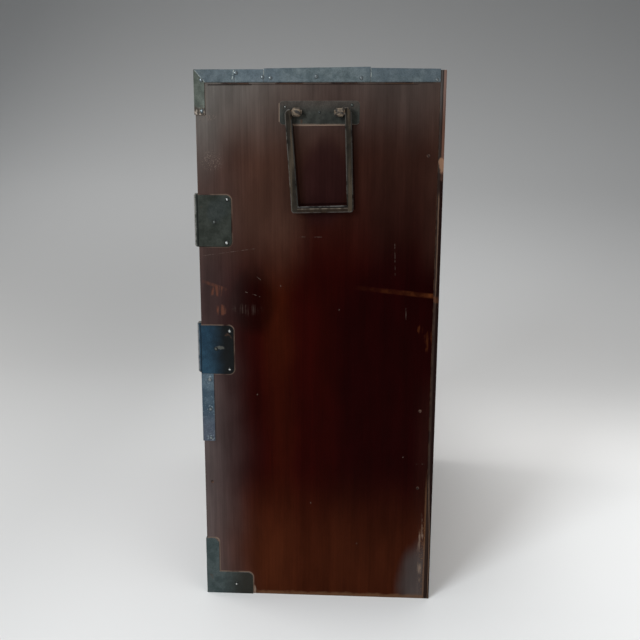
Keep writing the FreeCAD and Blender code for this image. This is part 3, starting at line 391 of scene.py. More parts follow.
marks = strongest([stroke(along, up, *mark) for mark in SCRATCHES]
                  + [patch(along, up, spot, *FLECK_REACH, ragged) for spot in FLECKS])
marks = marks * ragged.ramp(0.40, 0.54) * specks.ramp(0.36, 0.52) * right_side
scrape = stroke(along, up, *SCRAPE) * (streaks.ramp(0.42, 0.58) * 0.5 + 0.5)
scrape = scrape * ragged.ramp(0.40, 0.56)
smear = patch(along, up, *SMEAR, ragged) * pores.ramp(0.46, 0.60) * ragged.ramp(0.40, 0.55)
scuffs = strongest((patch(along, up, *HINGE_SCUFF, cloud) * specks.ramp(0.56, 0.64),
                    patch(along, up, *CORNER_SCUFF, cloud) * specks.ramp(0.52, 0.62)))
colour = (marks * 0.5 + scuffs * 0.6 + smear * right_side * 0.14).choose(colour, PALE_MARK)
colour = (scrape * right_side * 0.55).choose(colour, RAW_ORANGE)


def outline_of(node):
    """The low and high corner of an iron's part on the side, as (y, z)."""
    low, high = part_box(node)
    return (low.y, low.z), (high.y, high.z)


PLATE, FOOT = outline_of("side_handle_plate_right"), outline_of("bottom_corner_irons")
UPPER_LEAF, LOWER_LEAF = outline_of("upper_hinge_case_leaf"), outline_of("lower_hinge_case_leaf")
CORNER, FOOT_LEG_Y, FOOT_RISE = outline_of("front_corner_straps"), -0.172, 0.0402
TOP_STRAP = ((-0.20, 0.862), (0.20, 0.90))
IRON_OUTLINES = (
    # low and high corner of each iron on the side, its corners' radius, how clear the line
    # of worn lacquer and painted highlight round it and the painted shadow below it are, and
    # whether the left side has them too
    (UPPER_LEAF[0], UPPER_LEAF[1], 0.008, 0.50, 0.75, False),
    (LOWER_LEAF[0], LOWER_LEAF[1], 0.008, 0.50, 0.1, False),
    (PLATE[0], PLATE[1], 0.005, 0.07, 0.0, True),
    (FOOT[0], (FOOT_LEG_Y, FOOT[1][1]), 0.006, 0.60, 0.2, True),
    (FOOT[0], (FOOT[1][0], FOOT_RISE), 0.009, 0.75, 0.4, True),
    (CORNER[0], CORNER[1], 0.001, 0.30, 0.5, True),
    (TOP_STRAP[0], TOP_STRAP[1], 0.001, 0.15, 0.3, True),
)
BAIL_SHADOW_LINES = (
    # painted shadow: dark lines where the handle's legs and foot bar shade the board: start, end,
    # width
    ((-0.0412, 0.7990), (-0.0306, 0.6780), 0.0018), ((0.0508, 0.7990), (0.0558, 0.6710), 0.0020),
    ((-0.0306, 0.6768), (0.0436, 0.6792), 0.0022),
)
# worn lines along the handle plate's lower and front edges: start, end, width
UNDER_PLATE = ((-0.042, PLATE[0][1] - 0.0012), (0.044, PLATE[0][1] - 0.0006), 0.0013)
BEFORE_PLATE = ((PLATE[0][0] - 0.001, 0.804), (PLATE[0][0] - 0.001, 0.831), 0.0008)
lines, painted_iron_shadows = [], []
for low, high, corner, worn, shadow_amount, mirrored in IRON_OUTLINES:
    away = distance(along, up, low, high, corner)
    line = away.ramp(0.0024, 0.0010) * away.ramp(-0.0020, -0.0008) * worn
    shadow_below = away.ramp(0.0018, 0.0006) * up.ramp((low[1] + high[1]) / 2, low[1]) * shadow_amount
    if not mirrored:
        line, shadow_below = line * right_side, shadow_below * right_side
    lines.append(line)
    painted_iron_shadows.append(shadow_below)
lines.append(stroke(along, up, *BEFORE_PLATE))
broken = place.noise(30.0, 3.0, (1, 1, 1), (9, 0, 0)).ramp(0.36, 0.54)
lines = (strongest(lines) * broken).math("MAXIMUM", stroke(along, up, *UNDER_PLATE))
# tan lines round the irons: worn lacquer, and partly a painted highlight where the irons' edges
# catch the light
colour = lines.choose(colour, TAN_LINE)
# painted shadow below the irons and along the handle's legs and foot bar
painted_iron_shadows = strongest(painted_iron_shadows + [stroke(along, up, *mark) * 0.60 for mark in BAIL_SHADOW_LINES])
colour = colour.shade(1 - painted_iron_shadows * 0.9)
crack = stroke(along, up, *WIDE_CRACK).math("MAXIMUM", stroke(along, up, *FINE_CRACK) * 0.6)
colour = colour.shade(1 - crack * 0.85)

# lacquer rubbed through along the foot, the rear and the edges, and chipped by the toe iron
foot_rub = (up + (ragged - 0.5) * 0.010 + (cloud - 0.5) * 0.008).ramp(0.0085, 0.003)
foot_rub = foot_rub * along.ramp(-0.118, -0.098) * 0.6
patchy = place.noise(7.0, 2.0, (0, 0, 1), (0, 0, 5)).ramp(0.36, 0.46)
rear_rub = (along + (ragged - 0.5) * 0.003).ramp(REAR_Y - 0.0040, REAR_Y - 0.0016)
rear_rub = rear_rub * patchy * up.ramp(0.24, 0.18) * 0.45
rear_specks = along.ramp(0.168, 0.183) * up.ramp(0.16, 0.12) * specks.ramp(0.56, 0.66)
low_rear = rear_rub.math("MAXIMUM", rear_specks * 0.9)
worn_edges = edges_of(place) * (ragged.ramp(0.42, 0.58) * 0.5)
rubbed = strongest((foot_rub, low_rear, worn_edges))
colour = rubbed.choose(colour, RUBBED)
TOE_CHIP = ((FOOT[1][0] + 0.0020, 0.007), 0.0030, 0.012)
chips = patch(along, up, *REAR_CHIPS, ragged) * streaks.ramp(0.46, 0.60) * 0.6
toe_chip = patch(along, up, *TOE_CHIP, ragged) * streaks.ramp(0.34, 0.50)
colour = chips.math("MAXIMUM", toe_chip * 0.9).choose(colour, TAN_LINE)

growth = board_grain(place, (1, 1, 0.10), (4, 0, 6))
bare = growth.choose(BARE_WOOD, BARE_LINE).shade(pores * 0.3 + 0.85)
inside = across.math("ABSOLUTE").ramp(SIDE_X - 0.0050, SIDE_X - 0.0070)
inside = inside * along.ramp(FRONT_Y + 0.0015, FRONT_Y + 0.0025)
inside = inside * up.ramp(CASE_TOP - 0.001, CASE_TOP - 0.002)
gloss = drift.ramp(0.3, 0.7) * 0.12 + 0.36
relief = (grain * 0.5 + pores * 0.25 - wear * 1.5 - marks * 0.6 - rubbed * 1.2 + cloud * 1.5
          - crack * 2.0)
rough = gloss + wear * 0.2 + rubbed * 0.3 + inside * 0.25
paint(sockets, inside.choose(colour, bare), rough, bump(relief, 0.0004), 0.03)
sockets["Specular Tint"].default_value = (1.0, 0.45, 0.38, 1)

dress(["side_board_right", "side_board_left"], side_lacquer)
round_edges(["side_board_right", "side_board_left"], BOARD_EASE)

NAIL_BLACK, NAIL_BROWN = (0.012, 0.007, 0.006, 1), (0.085, 0.048, 0.034, 1)
wood_nail, sockets, place, across, along, up = new_finish("nail_in_wood")
patina = place.noise(260.0, 4.0)
colour = patina.ramp(0.35, 0.65).choose(NAIL_BLACK, NAIL_BROWN)
paint(sockets, colour, patina * 0.3 + 0.55, bump(patina, 0.0003), 0.1)

bpy.ops.object.select_all(action="DESELECT")
bpy.ops.mesh.primitive_uv_sphere_add(segments=12, ring_count=8, radius=1)
nail_head = bpy.context.object
bpy.ops.object.mode_set(mode="EDIT")
bpy.ops.mesh.select_all(action="SELECT")
bpy.ops.mesh.bisect(plane_co=(0, 0, -0.15), plane_no=(0, 0, 1), clear_inner=True, use_fill=True)
bpy.ops.object.mode_set(mode="OBJECT")
bpy.ops.object.shade_smooth()
nail_mesh = nail_head.data.copy()
bpy.data.objects.remove(nail_head)
chance = random.Random(7)


def drive_nails(name, body, finish, points, nail):
    """Copies a nail head, sized (radius, height), to each (place, facing) point and joins them."""
    radius, height = nail
    bpy.ops.object.select_all(action="DESELECT")
    for place, facing in points:
        head = bpy.data.objects.new(name, nail_mesh.copy())
        scene.collection.objects.link(head)
        wide, deep, tall = [chance.uniform(0.86, 1.12) for axis in range(3)]
        turn = Vector(facing).to_track_quat("Z", "Y").to_matrix().to_4x4()
        twist = Matrix.Rotation(chance.uniform(0, math.pi), 4, "Z")
        size = Matrix.Diagonal((radius * wide, radius * deep, height * tall, 1))
        head.data.transform(Matrix.Translation(place) @ turn @ twist @ size)
        head.select_set(True)
        bpy.context.view_layer.objects.active = head
    bpy.ops.object.join()
    nails = bpy.context.object
    nails.name = name
    nails.data.materials.append(finish)
    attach(nails, body)


def on_both_sides(spots, out):
    """The (y, z) spots as nail points that stand `out` from the right and the left side."""
    return [((side * (SIDE_X + out), y, z), (side, 0, 0)) for side in (1, -1) for y, z in spots]


SHELF_NAIL = (0.0030, 0.0006)
SHELF_NAILS = ((0.1690, 0.7527), (0.1681, 0.3402), (0.1681, 0.2046), (-0.1810, 0.2072))
drive_nails("shelf_nails", "case", wood_nail, on_both_sides(SHELF_NAILS, -0.0002),
            SHELF_NAIL)


# ---- The top, the shelves and the partition ----
# The top is finger-jointed to the sides and lacquered as they are, with its grain from side
# to side. The shelves, bottom and partition are bare paulownia with a lacquered front edge.

TOP_RED, TOP_LINE = (0.024, 0.0058, 0.0030, 1), (0.013, 0.0022, 0.0013, 1)
DUST, TOP_RUB = (0.055, 0.043, 0.036, 1), (0.11, 0.055, 0.030, 1)
top_lacquer, sockets, place, across, along, up = new_finish("top_lacquer")
growth = board_grain(place, (0.10, 1, 1), (2, 5, 0))
dust = place.noise(14.0, 5.0, (0.4, 1, 1))
fine = place.noise(380.0, 2.0, (0.03, 1, 1))
ragged = place.noise(90.0, 5.0)
colour = growth.choose(TOP_RED, TOP_LINE)
colour = (dust.ramp(0.42, 0.72) * 0.5).choose(colour, DUST)
colour = colour.shade(fine.ramp(0.3, 0.7) * 0.3 + 0.85)
worn = edges_of(place) * ragged.ramp(0.40, 0.56)
colour = (worn * 0.6).choose(colour, RUBBED)
rub = place.noise(40.0, 6.0, (0.15, 1, 1), (0, 8, 0)).ramp(0.66, 0.74)
colour = (rub * 0.5).choose(colour, TOP_RUB)
rough = dust.ramp(0.35, 0.7) * 0.22 + 0.30 + worn * 0.2
relief = growth * 0.6 + fine * 0.3 + dust * 1.2 - rub * 0.8
paint(sockets, colour, rough, bump(relief, 0.00035), 0.25)
dress(["top_board"], top_lacquer)

SHELF_PALE, PARTITION_PALE = (0.34, 0.235, 0.145, 1), (0.33, 0.23, 0.14, 1)
PALE_LINE, SHELF_STAIN = (0.22, 0.135, 0.075, 1), (0.12, 0.075, 0.045, 1)
EDGE_LACQUER, EDGE_LINE = (0.036, 0.0085, 0.0035, 1), (0.014, 0.0026, 0.0014, 1)
EDGE_WORN = (0.17, 0.09, 0.05, 1)


def bare_board(name, stretch, shift, pale, stained):
    """Bare paulownia with a lacquered front edge. Stained boards have a ragged lacquer line."""
    finish, sockets, place, across, along, up = new_finish(name)
    growth = board_grain(place, stretch, shift)
    fine = place.noise(420.0, 2.0, tuple(1 if share == 1 else 0.03 for share in stretch))
    ragged = place.noise(70.0, 5.0)
    colour, rearward = growth.choose(pale, PALE_LINE), along
    if stained:
        stain = place.noise(7.0, 4.0, (1, 1, 1), (0, 0, 3))
        colour = (stain.ramp(0.40, 0.72) * 0.55).choose(colour, SHELF_STAIN)
        rearward = along + (ragged - 0.5) * 0.003
    front_edge = rearward.ramp(FRONT_Y + 0.0025, FRONT_Y + 0.0015)
    colour = front_edge.choose(colour, growth.choose(EDGE_LACQUER, EDGE_LINE))
    colour = colour.shade(fine.ramp(0.3, 0.7) * 0.25 + 0.87)
    worn = edges_of(place) * ragged.ramp(0.42, 0.56)
    colour = (worn * 0.55).choose(colour, EDGE_WORN)
    rough = 0.68 - front_edge * 0.32 + worn * 0.15
    paint(sockets, colour, rough, bump(growth * -0.6 + fine * 0.5, 0.0003), 0.3)
    return finish


SHELVES = ["bottom_board", "lower_shelf", "middle_shelf", "upper_shelf", "stack_shelf",
           "compartment_shelf"]
dress(SHELVES, bare_board("shelf_wood", (0.10, 1, 1), (0, 2, 7), SHELF_PALE, stained=True))
dress(["partition"], bare_board("partition_wood", (1, 1, 0.10), (3, 0, 1), PARTITION_PALE,
                                stained=False))
round_edges(["top_board", "partition"] + SHELVES, BOARD_EASE)


# ---- The back boards ----
# Four thin softwood boards, tongued together and nailed to the shelves from behind. Only the
# edge that shows at the side was blackened, and it has gone orange where it rubs at the top.

BACK_WOOD, BACK_LINE = (0.150, 0.096, 0.058, 1), (0.082, 0.047, 0.027, 1)
BACK_STAIN, BACK_DRIP = (0.060, 0.043, 0.033, 1), (0.035, 0.022, 0.016, 1)
BACK_DAMP, BACK_WORN = (0.045, 0.032, 0.024, 1), (0.20, 0.125, 0.075, 1)
BLOTCH, LOW_ORANGE = ((0.1905, 0.738), 0.006, 0.011), ((0.188, 0.528), 0.006, 0.006)
back_wood, sockets, place, across, along, up = new_finish("back_wood")
growth = board_grain(place, (1, 1, 0.08), (6, 0, 2))
fine = place.noise(380.0, 3.0, (1, 1, 0.03))
stain = place.noise(4.0, 5.0, (1, 1, 0.6), (1, 0, 0))
drips = place.noise(28.0, 4.0, (1, 1, 0.06), (0, 0, 9))
ragged = place.noise(90.0, 5.0)
colour = growth.choose(BACK_WOOD, BACK_LINE)
colour = (stain.ramp(0.38, 0.70) * 0.65).choose(colour, BACK_STAIN)
colour = (drips.ramp(0.58, 0.72) * 0.4).choose(colour, BACK_DRIP)
colour = (up.ramp(0.10, 0.0) * 0.6).choose(colour, BACK_DAMP)

# the edge at the side: black below, orange and then hazy above, the haze partly a painted sheen,
# each paler to the rear
side_edge = across.math("ABSOLUTE").ramp(SIDE_X - 0.0020, SIDE_X - 0.0008)
aged = (up + (ragged - 0.5) * 0.03).ramp(0.715, 0.730)
outer = (along + (ragged - 0.5) * 0.0020).ramp(0.1878, 0.1890)
blackened = outer.choose((0.0200, 0.0105, 0.0080, 1), (0.0085, 0.0022, 0.0015, 1))
orange = outer.choose((0.030, 0.020, 0.017, 1), (0.100, 0.048, 0.033, 1))
hazy_and_sheen = outer.choose((0.066, 0.057, 0.053, 1), (0.165, 0.102, 0.083, 1))
edge_colour = aged.choose(blackened, (up.ramp(0.79, 0.85) * 0.9).choose(orange, hazy_and_sheen))
# painted shade in the seam near the rear edge
seam_shade = (along - 0.1880).math("ABSOLUTE").ramp(0.0010, 0.0004) * up.ramp(0.740, 0.760)
edge_colour = edge_colour.shade(1 - seam_shade * 0.7)
blotch = patch(along, up, *BLOTCH, ragged)
edge_colour = (blotch * 0.9).choose(edge_colour, (0.235, 0.130, 0.080, 1))
# a worn line along the joint with the side board, faint in its middle part
line_y = up.ramp(0.40, 0.60) * 0.0010 + up.ramp(0.26, 0.08) * 0.0045 + 0.1862
line = (along + (ragged - 0.5) * 0.0015 - line_y).math("ABSOLUTE").ramp(0.0014, 0.0004)
line = line * strongest((up.ramp(0.50, 0.56) * up.ramp(0.700, 0.685), up.ramp(0.24, 0.20),
                         ragged.ramp(0.3, 0.7) * 0.25 * up.ramp(0.70, 0.69)))
edge_colour = (line * 0.85).choose(edge_colour, (0.110, 0.068, 0.046, 1))
low_orange = patch(along, up, *LOW_ORANGE, ragged)
edge_colour = (low_orange * 0.45).choose(edge_colour, (0.10, 0.035, 0.014, 1))
colour = side_edge.choose(colour, edge_colour)
colour = colour.shade(fine.ramp(0.3, 0.7) * 0.35 + 0.82)
worn = edges_of(place) * ragged.ramp(0.44, 0.58) * (1 - side_edge * 0.7)
colour = (worn * 0.5).choose(colour, BACK_WORN)
relief = growth * -0.8 + fine * 0.8 + stain
paint(sockets, colour, 0.72 - side_edge * 0.2, bump(relief, 0.0004), 0.06)
dress(["back_boards"], back_wood)
BACK_EASE = 0.0006
round_edges(["back_boards"], BACK_EASE)

BACK_Y, BACK_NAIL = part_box("back_boards")[1].y, (0.0032, 0.0005)
BACK_NAIL_X = (-0.312, -0.245, -0.181, -0.149, -0.083, -0.017,
               0.017, 0.083, 0.149, 0.181, 0.245, 0.312)
BACK_NAIL_Z = (0.010, 0.205, 0.340, 0.752, 0.870)
drive_nails("back_nails", "case", wood_nail,
            [((x, BACK_Y - 0.0004, z), (0, 1, 0)) for x in BACK_NAIL_X for z in BACK_NAIL_Z],
            BACK_NAIL)


# ---- The binding irons ----
# Sheet iron forged thin and oiled black, gone blue-grey, the blue of the top straps partly a
# painted reflection of bluish light. The top straps lap over each other in short lengths, and
# wrap the edges with the corner, edge and foot irons, on domed nails.

RUST = (0.062, 0.027, 0.013, 1)
BARE_IRON = (0.27, 0.26, 0.24, 1)


def forged_iron(name, bright, dull, rust, tint=None, rub=0.55):
    """Hammered, oiled iron: two tones, how rusty it is, and how bare its edges are rubbed.

    tint(colour, place, across, along, up) may add to its colour.
    """
    finish, sockets, place, across, along, up = new_finish(name)
    hammer = place.noise(48.0, 1.5, (1, 1, 1), (5, 2, 0))
    patina = place.noise(80.0, 5.0, (1, 1, 1), (0, 3, 1))
    pits = place.noise(620.0, 2.0)
    rusty = place.noise(46.0, 6.0, (1, 1, 1), (2, 0, 6))
    rusty = rusty.ramp(0.70 - 0.22 * rust, 0.76 - 0.18 * rust)
    colour = patina.ramp(0.34, 0.68).choose(dull, bright)
    if tint:
        colour = tint(colour, place, across, along, up)
    colour = (rusty * 0.75).choose(colour, RUST)
    worn = edges_of(place) * patina.ramp(0.36, 0.52)
    colour = (worn * rub).choose(colour, BARE_IRON)
    colour = colour.shade(pits.ramp(0.3, 0.7) * 0.3 + 0.85)
    rough = patina * 0.2 + 0.34 + rusty * 0.25 - worn * 0.1
    relief = hammer * 1.6 + patina * 0.4 + pits * 0.12 + rusty * 0.3
    paint(sockets, colour, rough, bump(relief, 0.0006), 0.2)
    connect(sockets["Metallic"], (1 - rusty) * 0.35)
    return finish


LAP_LINES = (
    # worn ends of the lengths on the side: start, end, width
    ((-0.1925, 0.8795), (-0.1780, 0.8630), 0.0011), ((-0.1320, 0.8795), (-0.1345, 0.8670), 0.0010),
    ((-0.0858, 0.8810), (-0.0860, 0.8680), 0.0007), ((0.0785, 0.8840), (0.0782, 0.8700), 0.0010),
)


def strap_tint(colour, place, across, along, up):
    """Bluer in the middle of each length, partly a painted reflection, with pale lines at the
    mitre and at the laps.
    """
    blue = place.noise(14.0, 2.0, (1, 1, 1), (0, 9, 0)).ramp(0.40, 0.62)
    colour = (blue * 0.5).choose(colour, (0.092, 0.118, 0.142, 1))
    colour = colour.shade(1 - along.ramp(-0.115, -0.165) * 0.22)
    light = strongest(stroke(along, up, *lap) for lap in LAP_LINES)
    light = light * place.noise(260.0, 3.0).ramp(0.40, 0.54)
    colour = (light * 0.85).choose(colour, (0.36, 0.39, 0.37, 1))
    return (up.ramp(0.8640, 0.8622) * 0.5).choose(colour, (0.035, 0.045, 0.047, 1))


top_strap_iron = forged_iron("top_strap_iron", bright=(0.132, 0.160, 0.168, 1),
                             dull=(0.080, 0.104, 0.112, 1), rust=0.05, tint=strap_tint)
TOP_STRAPS = ["top_strap_right", "top_strap_left", "top_strap_front"]
dress(TOP_STRAPS, top_strap_iron)


def corner_tint(colour, place, across, along, up):
    """Greener, with a ragged rusty lower end that has shed its black."""
    ragged = place.noise(190.0, 4.0)
    end = (up + (ragged - 0.5) * 0.014).ramp(0.828, 0.820)
    colour = (end * 0.85).choose(colour, (0.095, 0.072, 0.056, 1))
    colour = (end * ragged.ramp(0.50, 0.44) * 0.7).choose(colour, (0.022, 0.018, 0.014, 1))
    return (end * ragged.ramp(0.54, 0.62) * 0.8).choose(colour, (0.34, 0.28, 0.23, 1))


corner_iron = forged_iron("corner_iron", bright=(0.100, 0.112, 0.094, 1),
                          dull=(0.056, 0.066, 0.054, 1), rust=0.15, tint=corner_tint)
dress(["front_corner_straps"], corner_iron)


EDGE_NAILS = ((-0.1809, 0.3885), (-0.1807, 0.3372), (-0.1810, 0.2868))


def edge_tint(colour, place, across, along, up):
    """Blue at the top end, going violet-grey below, speckled round the nails."""
    ragged = place.noise(330.0, 3.0, (1, 1, 1), (4, 4, 0))
    colour = (up.ramp(0.345, 0.30) * 0.6).choose(colour, (0.068, 0.070, 0.095, 1))
    near = strongest(patch(along, up, nail, 0.008, 0.010, ragged) for nail in EDGE_NAILS)
    colour = (ragged.ramp(0.60, 0.68) * 0.5).choose(colour, (0.15, 0.19, 0.21, 1))
    return (ragged.ramp(0.54, 0.62) * near * 0.7).choose(colour, (0.30, 0.35, 0.37, 1))


edge_iron = forged_iron("edge_iron", bright=(0.075, 0.108, 0.135, 1),
                        dull=(0.038, 0.062, 0.085, 1), rust=0.05, tint=edge_tint)
dress(["front_edge_straps"], edge_iron)


def foot_tint(colour, place, across, along, up):
    """Blue-green on the upright leg, going brown-black to the toe."""
    toe = along.ramp(-0.178, -0.125)
    return (toe * 0.9).choose(colour, (0.018, 0.015, 0.010, 1))


foot_iron = forged_iron("foot_iron", bright=(0.062, 0.080, 0.080, 1),
                        dull=(0.036, 0.052, 0.052, 1), rust=0.08, tint=foot_tint)
dress(["bottom_corner_irons"], foot_iron)
STRAP_EASE = 0.00035
round_edges(TOP_STRAPS + ["front_corner_straps", "front_edge_straps", "bottom_corner_irons"],
            STRAP_EASE)


def worn_glinting_nail(name, rim, crown):
    """A dark nail head with a bright crown, partly worn by hands and dusters and partly a painted
    highlight.
    """
    finish, sockets, place, across, along, up = new_finish(name)
    facing = place.node("TexCoord", output=1)
    height = strongest(facing.node("SeparateXYZ", None, {0: facing}, axis).math("ABSOLUTE")
                       for axis in range(3))
    patina = place.noise(420.0, 3.0)
    # the bright crown is partly wear and partly a painted highlight
    bright = (height + (patina - 0.5) * 0.10).ramp(0.925, 0.975)
    paint(sockets, bright.choose(rim, crown), 0.5 - bright * 0.2, bump(patina, 0.0002), 0.3)
    connect(sockets["Metallic"], bright * 0.5 + 0.2)
    return finish


nail_iron = worn_glinting_nail("nail_iron", (0.005, 0.006, 0.005, 1), (0.50, 0.50, 0.48, 1))
dull_nail_iron = worn_glinting_nail("dull_nail_iron", (0.012, 0.014, 0.013, 1), (0.10, 0.11, 0.10, 1))
strap_nail_iron = worn_glinting_nail("strap_nail_iron", (0.060, 0.074, 0.080, 1), (0.20, 0.225, 0.235, 1))

# the nail heads' sizes: radius, height
STRAP_NAIL, FOOT_NAIL = (0.0032, 0.0013), (0.0036, 0.0019)
FRONT_NAIL, DECK_NAIL = (0.0034, 0.0014), (0.0038, 0.0006)
STRAP_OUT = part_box("top_strap_right")[1].x - SIDE_X
STRAP_NAILS = ((-0.1289, 0.8760), (-0.0878, 0.8697), (-0.0756, 0.8682), (-0.0053, 0.8704),
               (0.0634, 0.8682), (0.1781, 0.8653))
CORNER_NAILS = ((-0.1826, 0.8195), (-0.1827, 0.8653))
FOOT_NAILS = ((-0.1424, 0.0185),)
drive_nails("strap_nails", "case", strap_nail_iron,
            on_both_sides(STRAP_NAILS + CORNER_NAILS + EDGE_NAILS, STRAP_OUT - 0.0001),
            STRAP_NAIL)
drive_nails("foot_nails", "case", nail_iron,
            on_both_sides(FOOT_NAILS, STRAP_OUT - 0.0001), FOOT_NAIL)

FRONT_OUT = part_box("top_strap_front")[0].y
TOP_FRONT_NAILS = [(x, 0.8705) for x in (-0.262, -0.157, -0.052, 0.052, 0.157, 0.262)]
SIDE_FRONT_NAILS = (
    # each as (x, z), in the corner strap, the edge strap and the foot iron of the right side
    (0.3215, 0.8230), (0.3215, 0.8480), (0.3230, 0.2868), (0.3230, 0.3372), (0.3230, 0.3885),
    (0.3215, 0.0960), (0.3215, 0.0560), (0.2580, 0.0090), (0.2980, 0.0090),
)
front_spots = TOP_FRONT_NAILS + [(side * x, z) for side in (1, -1) for x, z in SIDE_FRONT_NAILS]
drive_nails("front_strap_nails", "case", strap_nail_iron,
            [((x, FRONT_OUT + 0.0001, z), (0, -1, 0)) for x, z in front_spots], FRONT_NAIL)
STRAP_TOP, DECK_NAIL_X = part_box("top_strap_front")[1].z, 0.3215
DECK_NAILS = (
    # y, and how far the sprung strap lifts there
    (-0.165, 0.0), (-0.108, 0.0), (-0.030, 0.0019), (0.066, 0.0029), (0.135, 0.0007),
)
drive_nails("top_strap_nails", "case", strap_nail_iron,
            [((side * DECK_NAIL_X, y, STRAP_TOP + lift - 0.0002), (0, 0, 1))
             for side in (1, -1) for y, lift in DECK_NAILS], DECK_NAIL)


# ---- The side handles ----
# A square bar with filed edges bent into a bail, wider at the foot. Its turned-in ends pivot
# in two lumpy forged eyes, which are driven through a thin backing plate.


def plate_tint(colour, place, across, along, up):
    """Browner above the eyes, greenish below, with a bright lower edge."""
    colour = (up.ramp(0.815, 0.832) * 0.8).choose(colour, (0.062, 0.050, 0.042, 1))
    ragged = place.noise(60.0, 3.0, (1, 1, 1), (0, 5, 5))
    bright_edge = up.ramp(0.8006, 0.7998) * ragged.ramp(0.35, 0.5) * 0.7
    return bright_edge.choose(colour, (0.30, 0.20, 0.145, 1))


handle_plate_iron = forged_iron("handle_plate_iron", bright=(0.040, 0.041, 0.035, 1),
                                dull=(0.020, 0.021, 0.018, 1), rust=0.12, tint=plate_tint)
HANDLE_PLATES = ["side_handle_plate_right", "side_handle_plate_left"]
dress(HANDLE_PLATES, handle_plate_iron)

BAR_MIDDLE_Y, BAR_HALF, BAR_FOOT, BAR_SLOPE = 0.0058, 0.0400, 0.6650, 0.0248
PINS_AHEAD, PIN_FROM, PIN_UP = 0.002, 0.0420, 0.806


def bail_tint(colour, place, across, along, up):
    """Brown bars that hands have polished along their fronts, with painted shade on the faces that
    turn to the rear.
    """
    streak = place.noise(150.0, 3.0, (1, 1, 0.08), (0, 0, 2))
    colour = (streak.ramp(0.44, 0.62) * 0.60).choose(colour, (0.085, 0.062, 0.040, 1))
    facing = place.node("TexCoord", output=1)
    rearward = facing.node("SeparateXYZ", None, {0: facing}, 1).ramp(0.15, 0.55)
    # painted shade: faces turned to the rear, away from the lamp, are darkened
    colour = colour.shade(1 - rearward * 0.9)
    # the bar at the foot, which hangs a little lower at its front end
    rise = up - ((along - BAR_MIDDLE_Y) * BAR_SLOPE + BAR_FOOT)
    bar = (along - BAR_MIDDLE_Y).math("ABSOLUTE").ramp(BAR_HALF, BAR_HALF - 0.0015)
    bar = bar * rise.ramp(0.0115, 0.0110)
    colour = (bar * 0.8).choose(colour, (0.020, 0.011, 0.006, 1))
    # painted shadow: the top of the foot bar is near black
    colour = (bar * rise.ramp(0.0068, 0.0076) * 0.9).choose(colour, (0.004, 0.003, 0.003, 1))
    # painted highlight: a thin light line along the foot bar's front face
    glint = (rise - 0.0064).math("ABSOLUTE").ramp(0.0010, 0.0004)
    glint = glint * (streak.ramp(0.36, 0.6) * 0.7 + 0.2)
    colour = (bar * glint).choose(colour, (0.16, 0.13, 0.10, 1))
    # the pins, crusted as the eyes are
    lumps = place.noise(230.0, 3.0, (1, 0.6, 1))
    pin = (along + PINS_AHEAD).math("ABSOLUTE").ramp(PIN_FROM, PIN_FROM - 0.0015)
    pin = pin * up.ramp(PIN_UP, PIN_UP + 0.004)
    crust = lumps.ramp(0.40, 0.60).choose((0.022, 0.015, 0.011, 1), (0.130, 0.090, 0.058, 1))
    return pin.choose(colour, crust)


bail_iron = forged_iron("bail_iron", bright=(0.024, 0.018, 0.012, 1),
                        dull=(0.010, 0.0075, 0.005, 1), rust=0.12, tint=bail_tint, rub=0.22)
HANDLES = ["side_handle_right", "side_handle_left"]
dress(HANDLES, bail_iron)

eye_iron, sockets, place, across, along, up = new_finish("eye_iron")
lumps = place.noise(210.0, 3.0, (1, 0.6, 1))
crust = place.noise(520.0, 4.0)
colour = lumps.ramp(0.38, 0.60).choose((0.016, 0.011, 0.008, 1), (0.150, 0.110, 0.072, 1))
colour = (crust.ramp(0.62, 0.70) * 0.7).choose(colour, (0.32, 0.27, 0.21, 1))
connect(sockets["Base Color"], colour)
connect(sockets["Metallic"], crust.ramp(0.6, 0.7) * 0.3)
connect(sockets["Roughness"], 0.7 - crust.ramp(0.5, 0.7) * 0.25)
connect(sockets["Normal"], bump(lumps * 1.0 + crust * 0.3, 0.0016))
EYES = ["side_handle_eyes_right", "side_handle_eyes_left"]
dress(EYES, eye_iron)
LUMP_SIZE, LUMP_DEPTH, SKIN_STEP, PLATE_EASE = 0.0055, 0.0020, 0.0006, 0.0003
hammered = bpy.data.textures.new("hammered", "CLOUDS")
hammered.noise_scale, hammered.noise_depth = LUMP_SIZE, 1
for name in EYES:
    remesh = node_of[name].modifiers.new("skin", "REMESH")
    remesh.mode, remesh.voxel_size, remesh.use_smooth_shade = "VOXEL", SKIN_STEP, True
    dents = node_of[name].modifiers.new("dents", "DISPLACE")
    dents.texture, dents.texture_coords = hammered, "LOCAL"
    dents.mid_level, dents.strength = 1.0, LUMP_DEPTH
round_edges(HANDLE_PLATES, PLATE_EASE)

BRIGHT_PLATE_NAILS = ((-0.0531, 0.8255),)
DULL_PLATE_NAILS = ((0.0, 0.8176), (0.0500, 0.8284))
PLATE_OUT, PLATE_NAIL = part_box("side_handle_plate_right")[1].x - SIDE_X, (0.0024, 0.0012)
for name, finish, spots in (("handle_plate_nails", nail_iron, BRIGHT_PLATE_NAILS),
                            ("handle_plate_dull_nails", dull_nail_iron, DULL_PLATE_NAILS)):
    drive_nails(name, "case", finish, on_both_sides(spots, PLATE_OUT - 0.0001),
                PLATE_NAIL)


# ---- The door's two hinges ----
# Wrap-round leaves with knuckles on a loose pin. The case leaf turns the corner to the side
# of the chest, where the upper one is green-black and the lower one is blue, partly its bluing and
# partly a painted reflection of bluish light.

BARREL_CREASE_SHADE, SEAM_AHEAD = (0.0015, 0.0015, 0.0015, 1), 0.1942
HINGE_BLUE, HINGE_SCRAPE = ((-0.158, 0.668), 0.020, 0.022), ((-0.162, 0.4430), 0.007, 0.003)


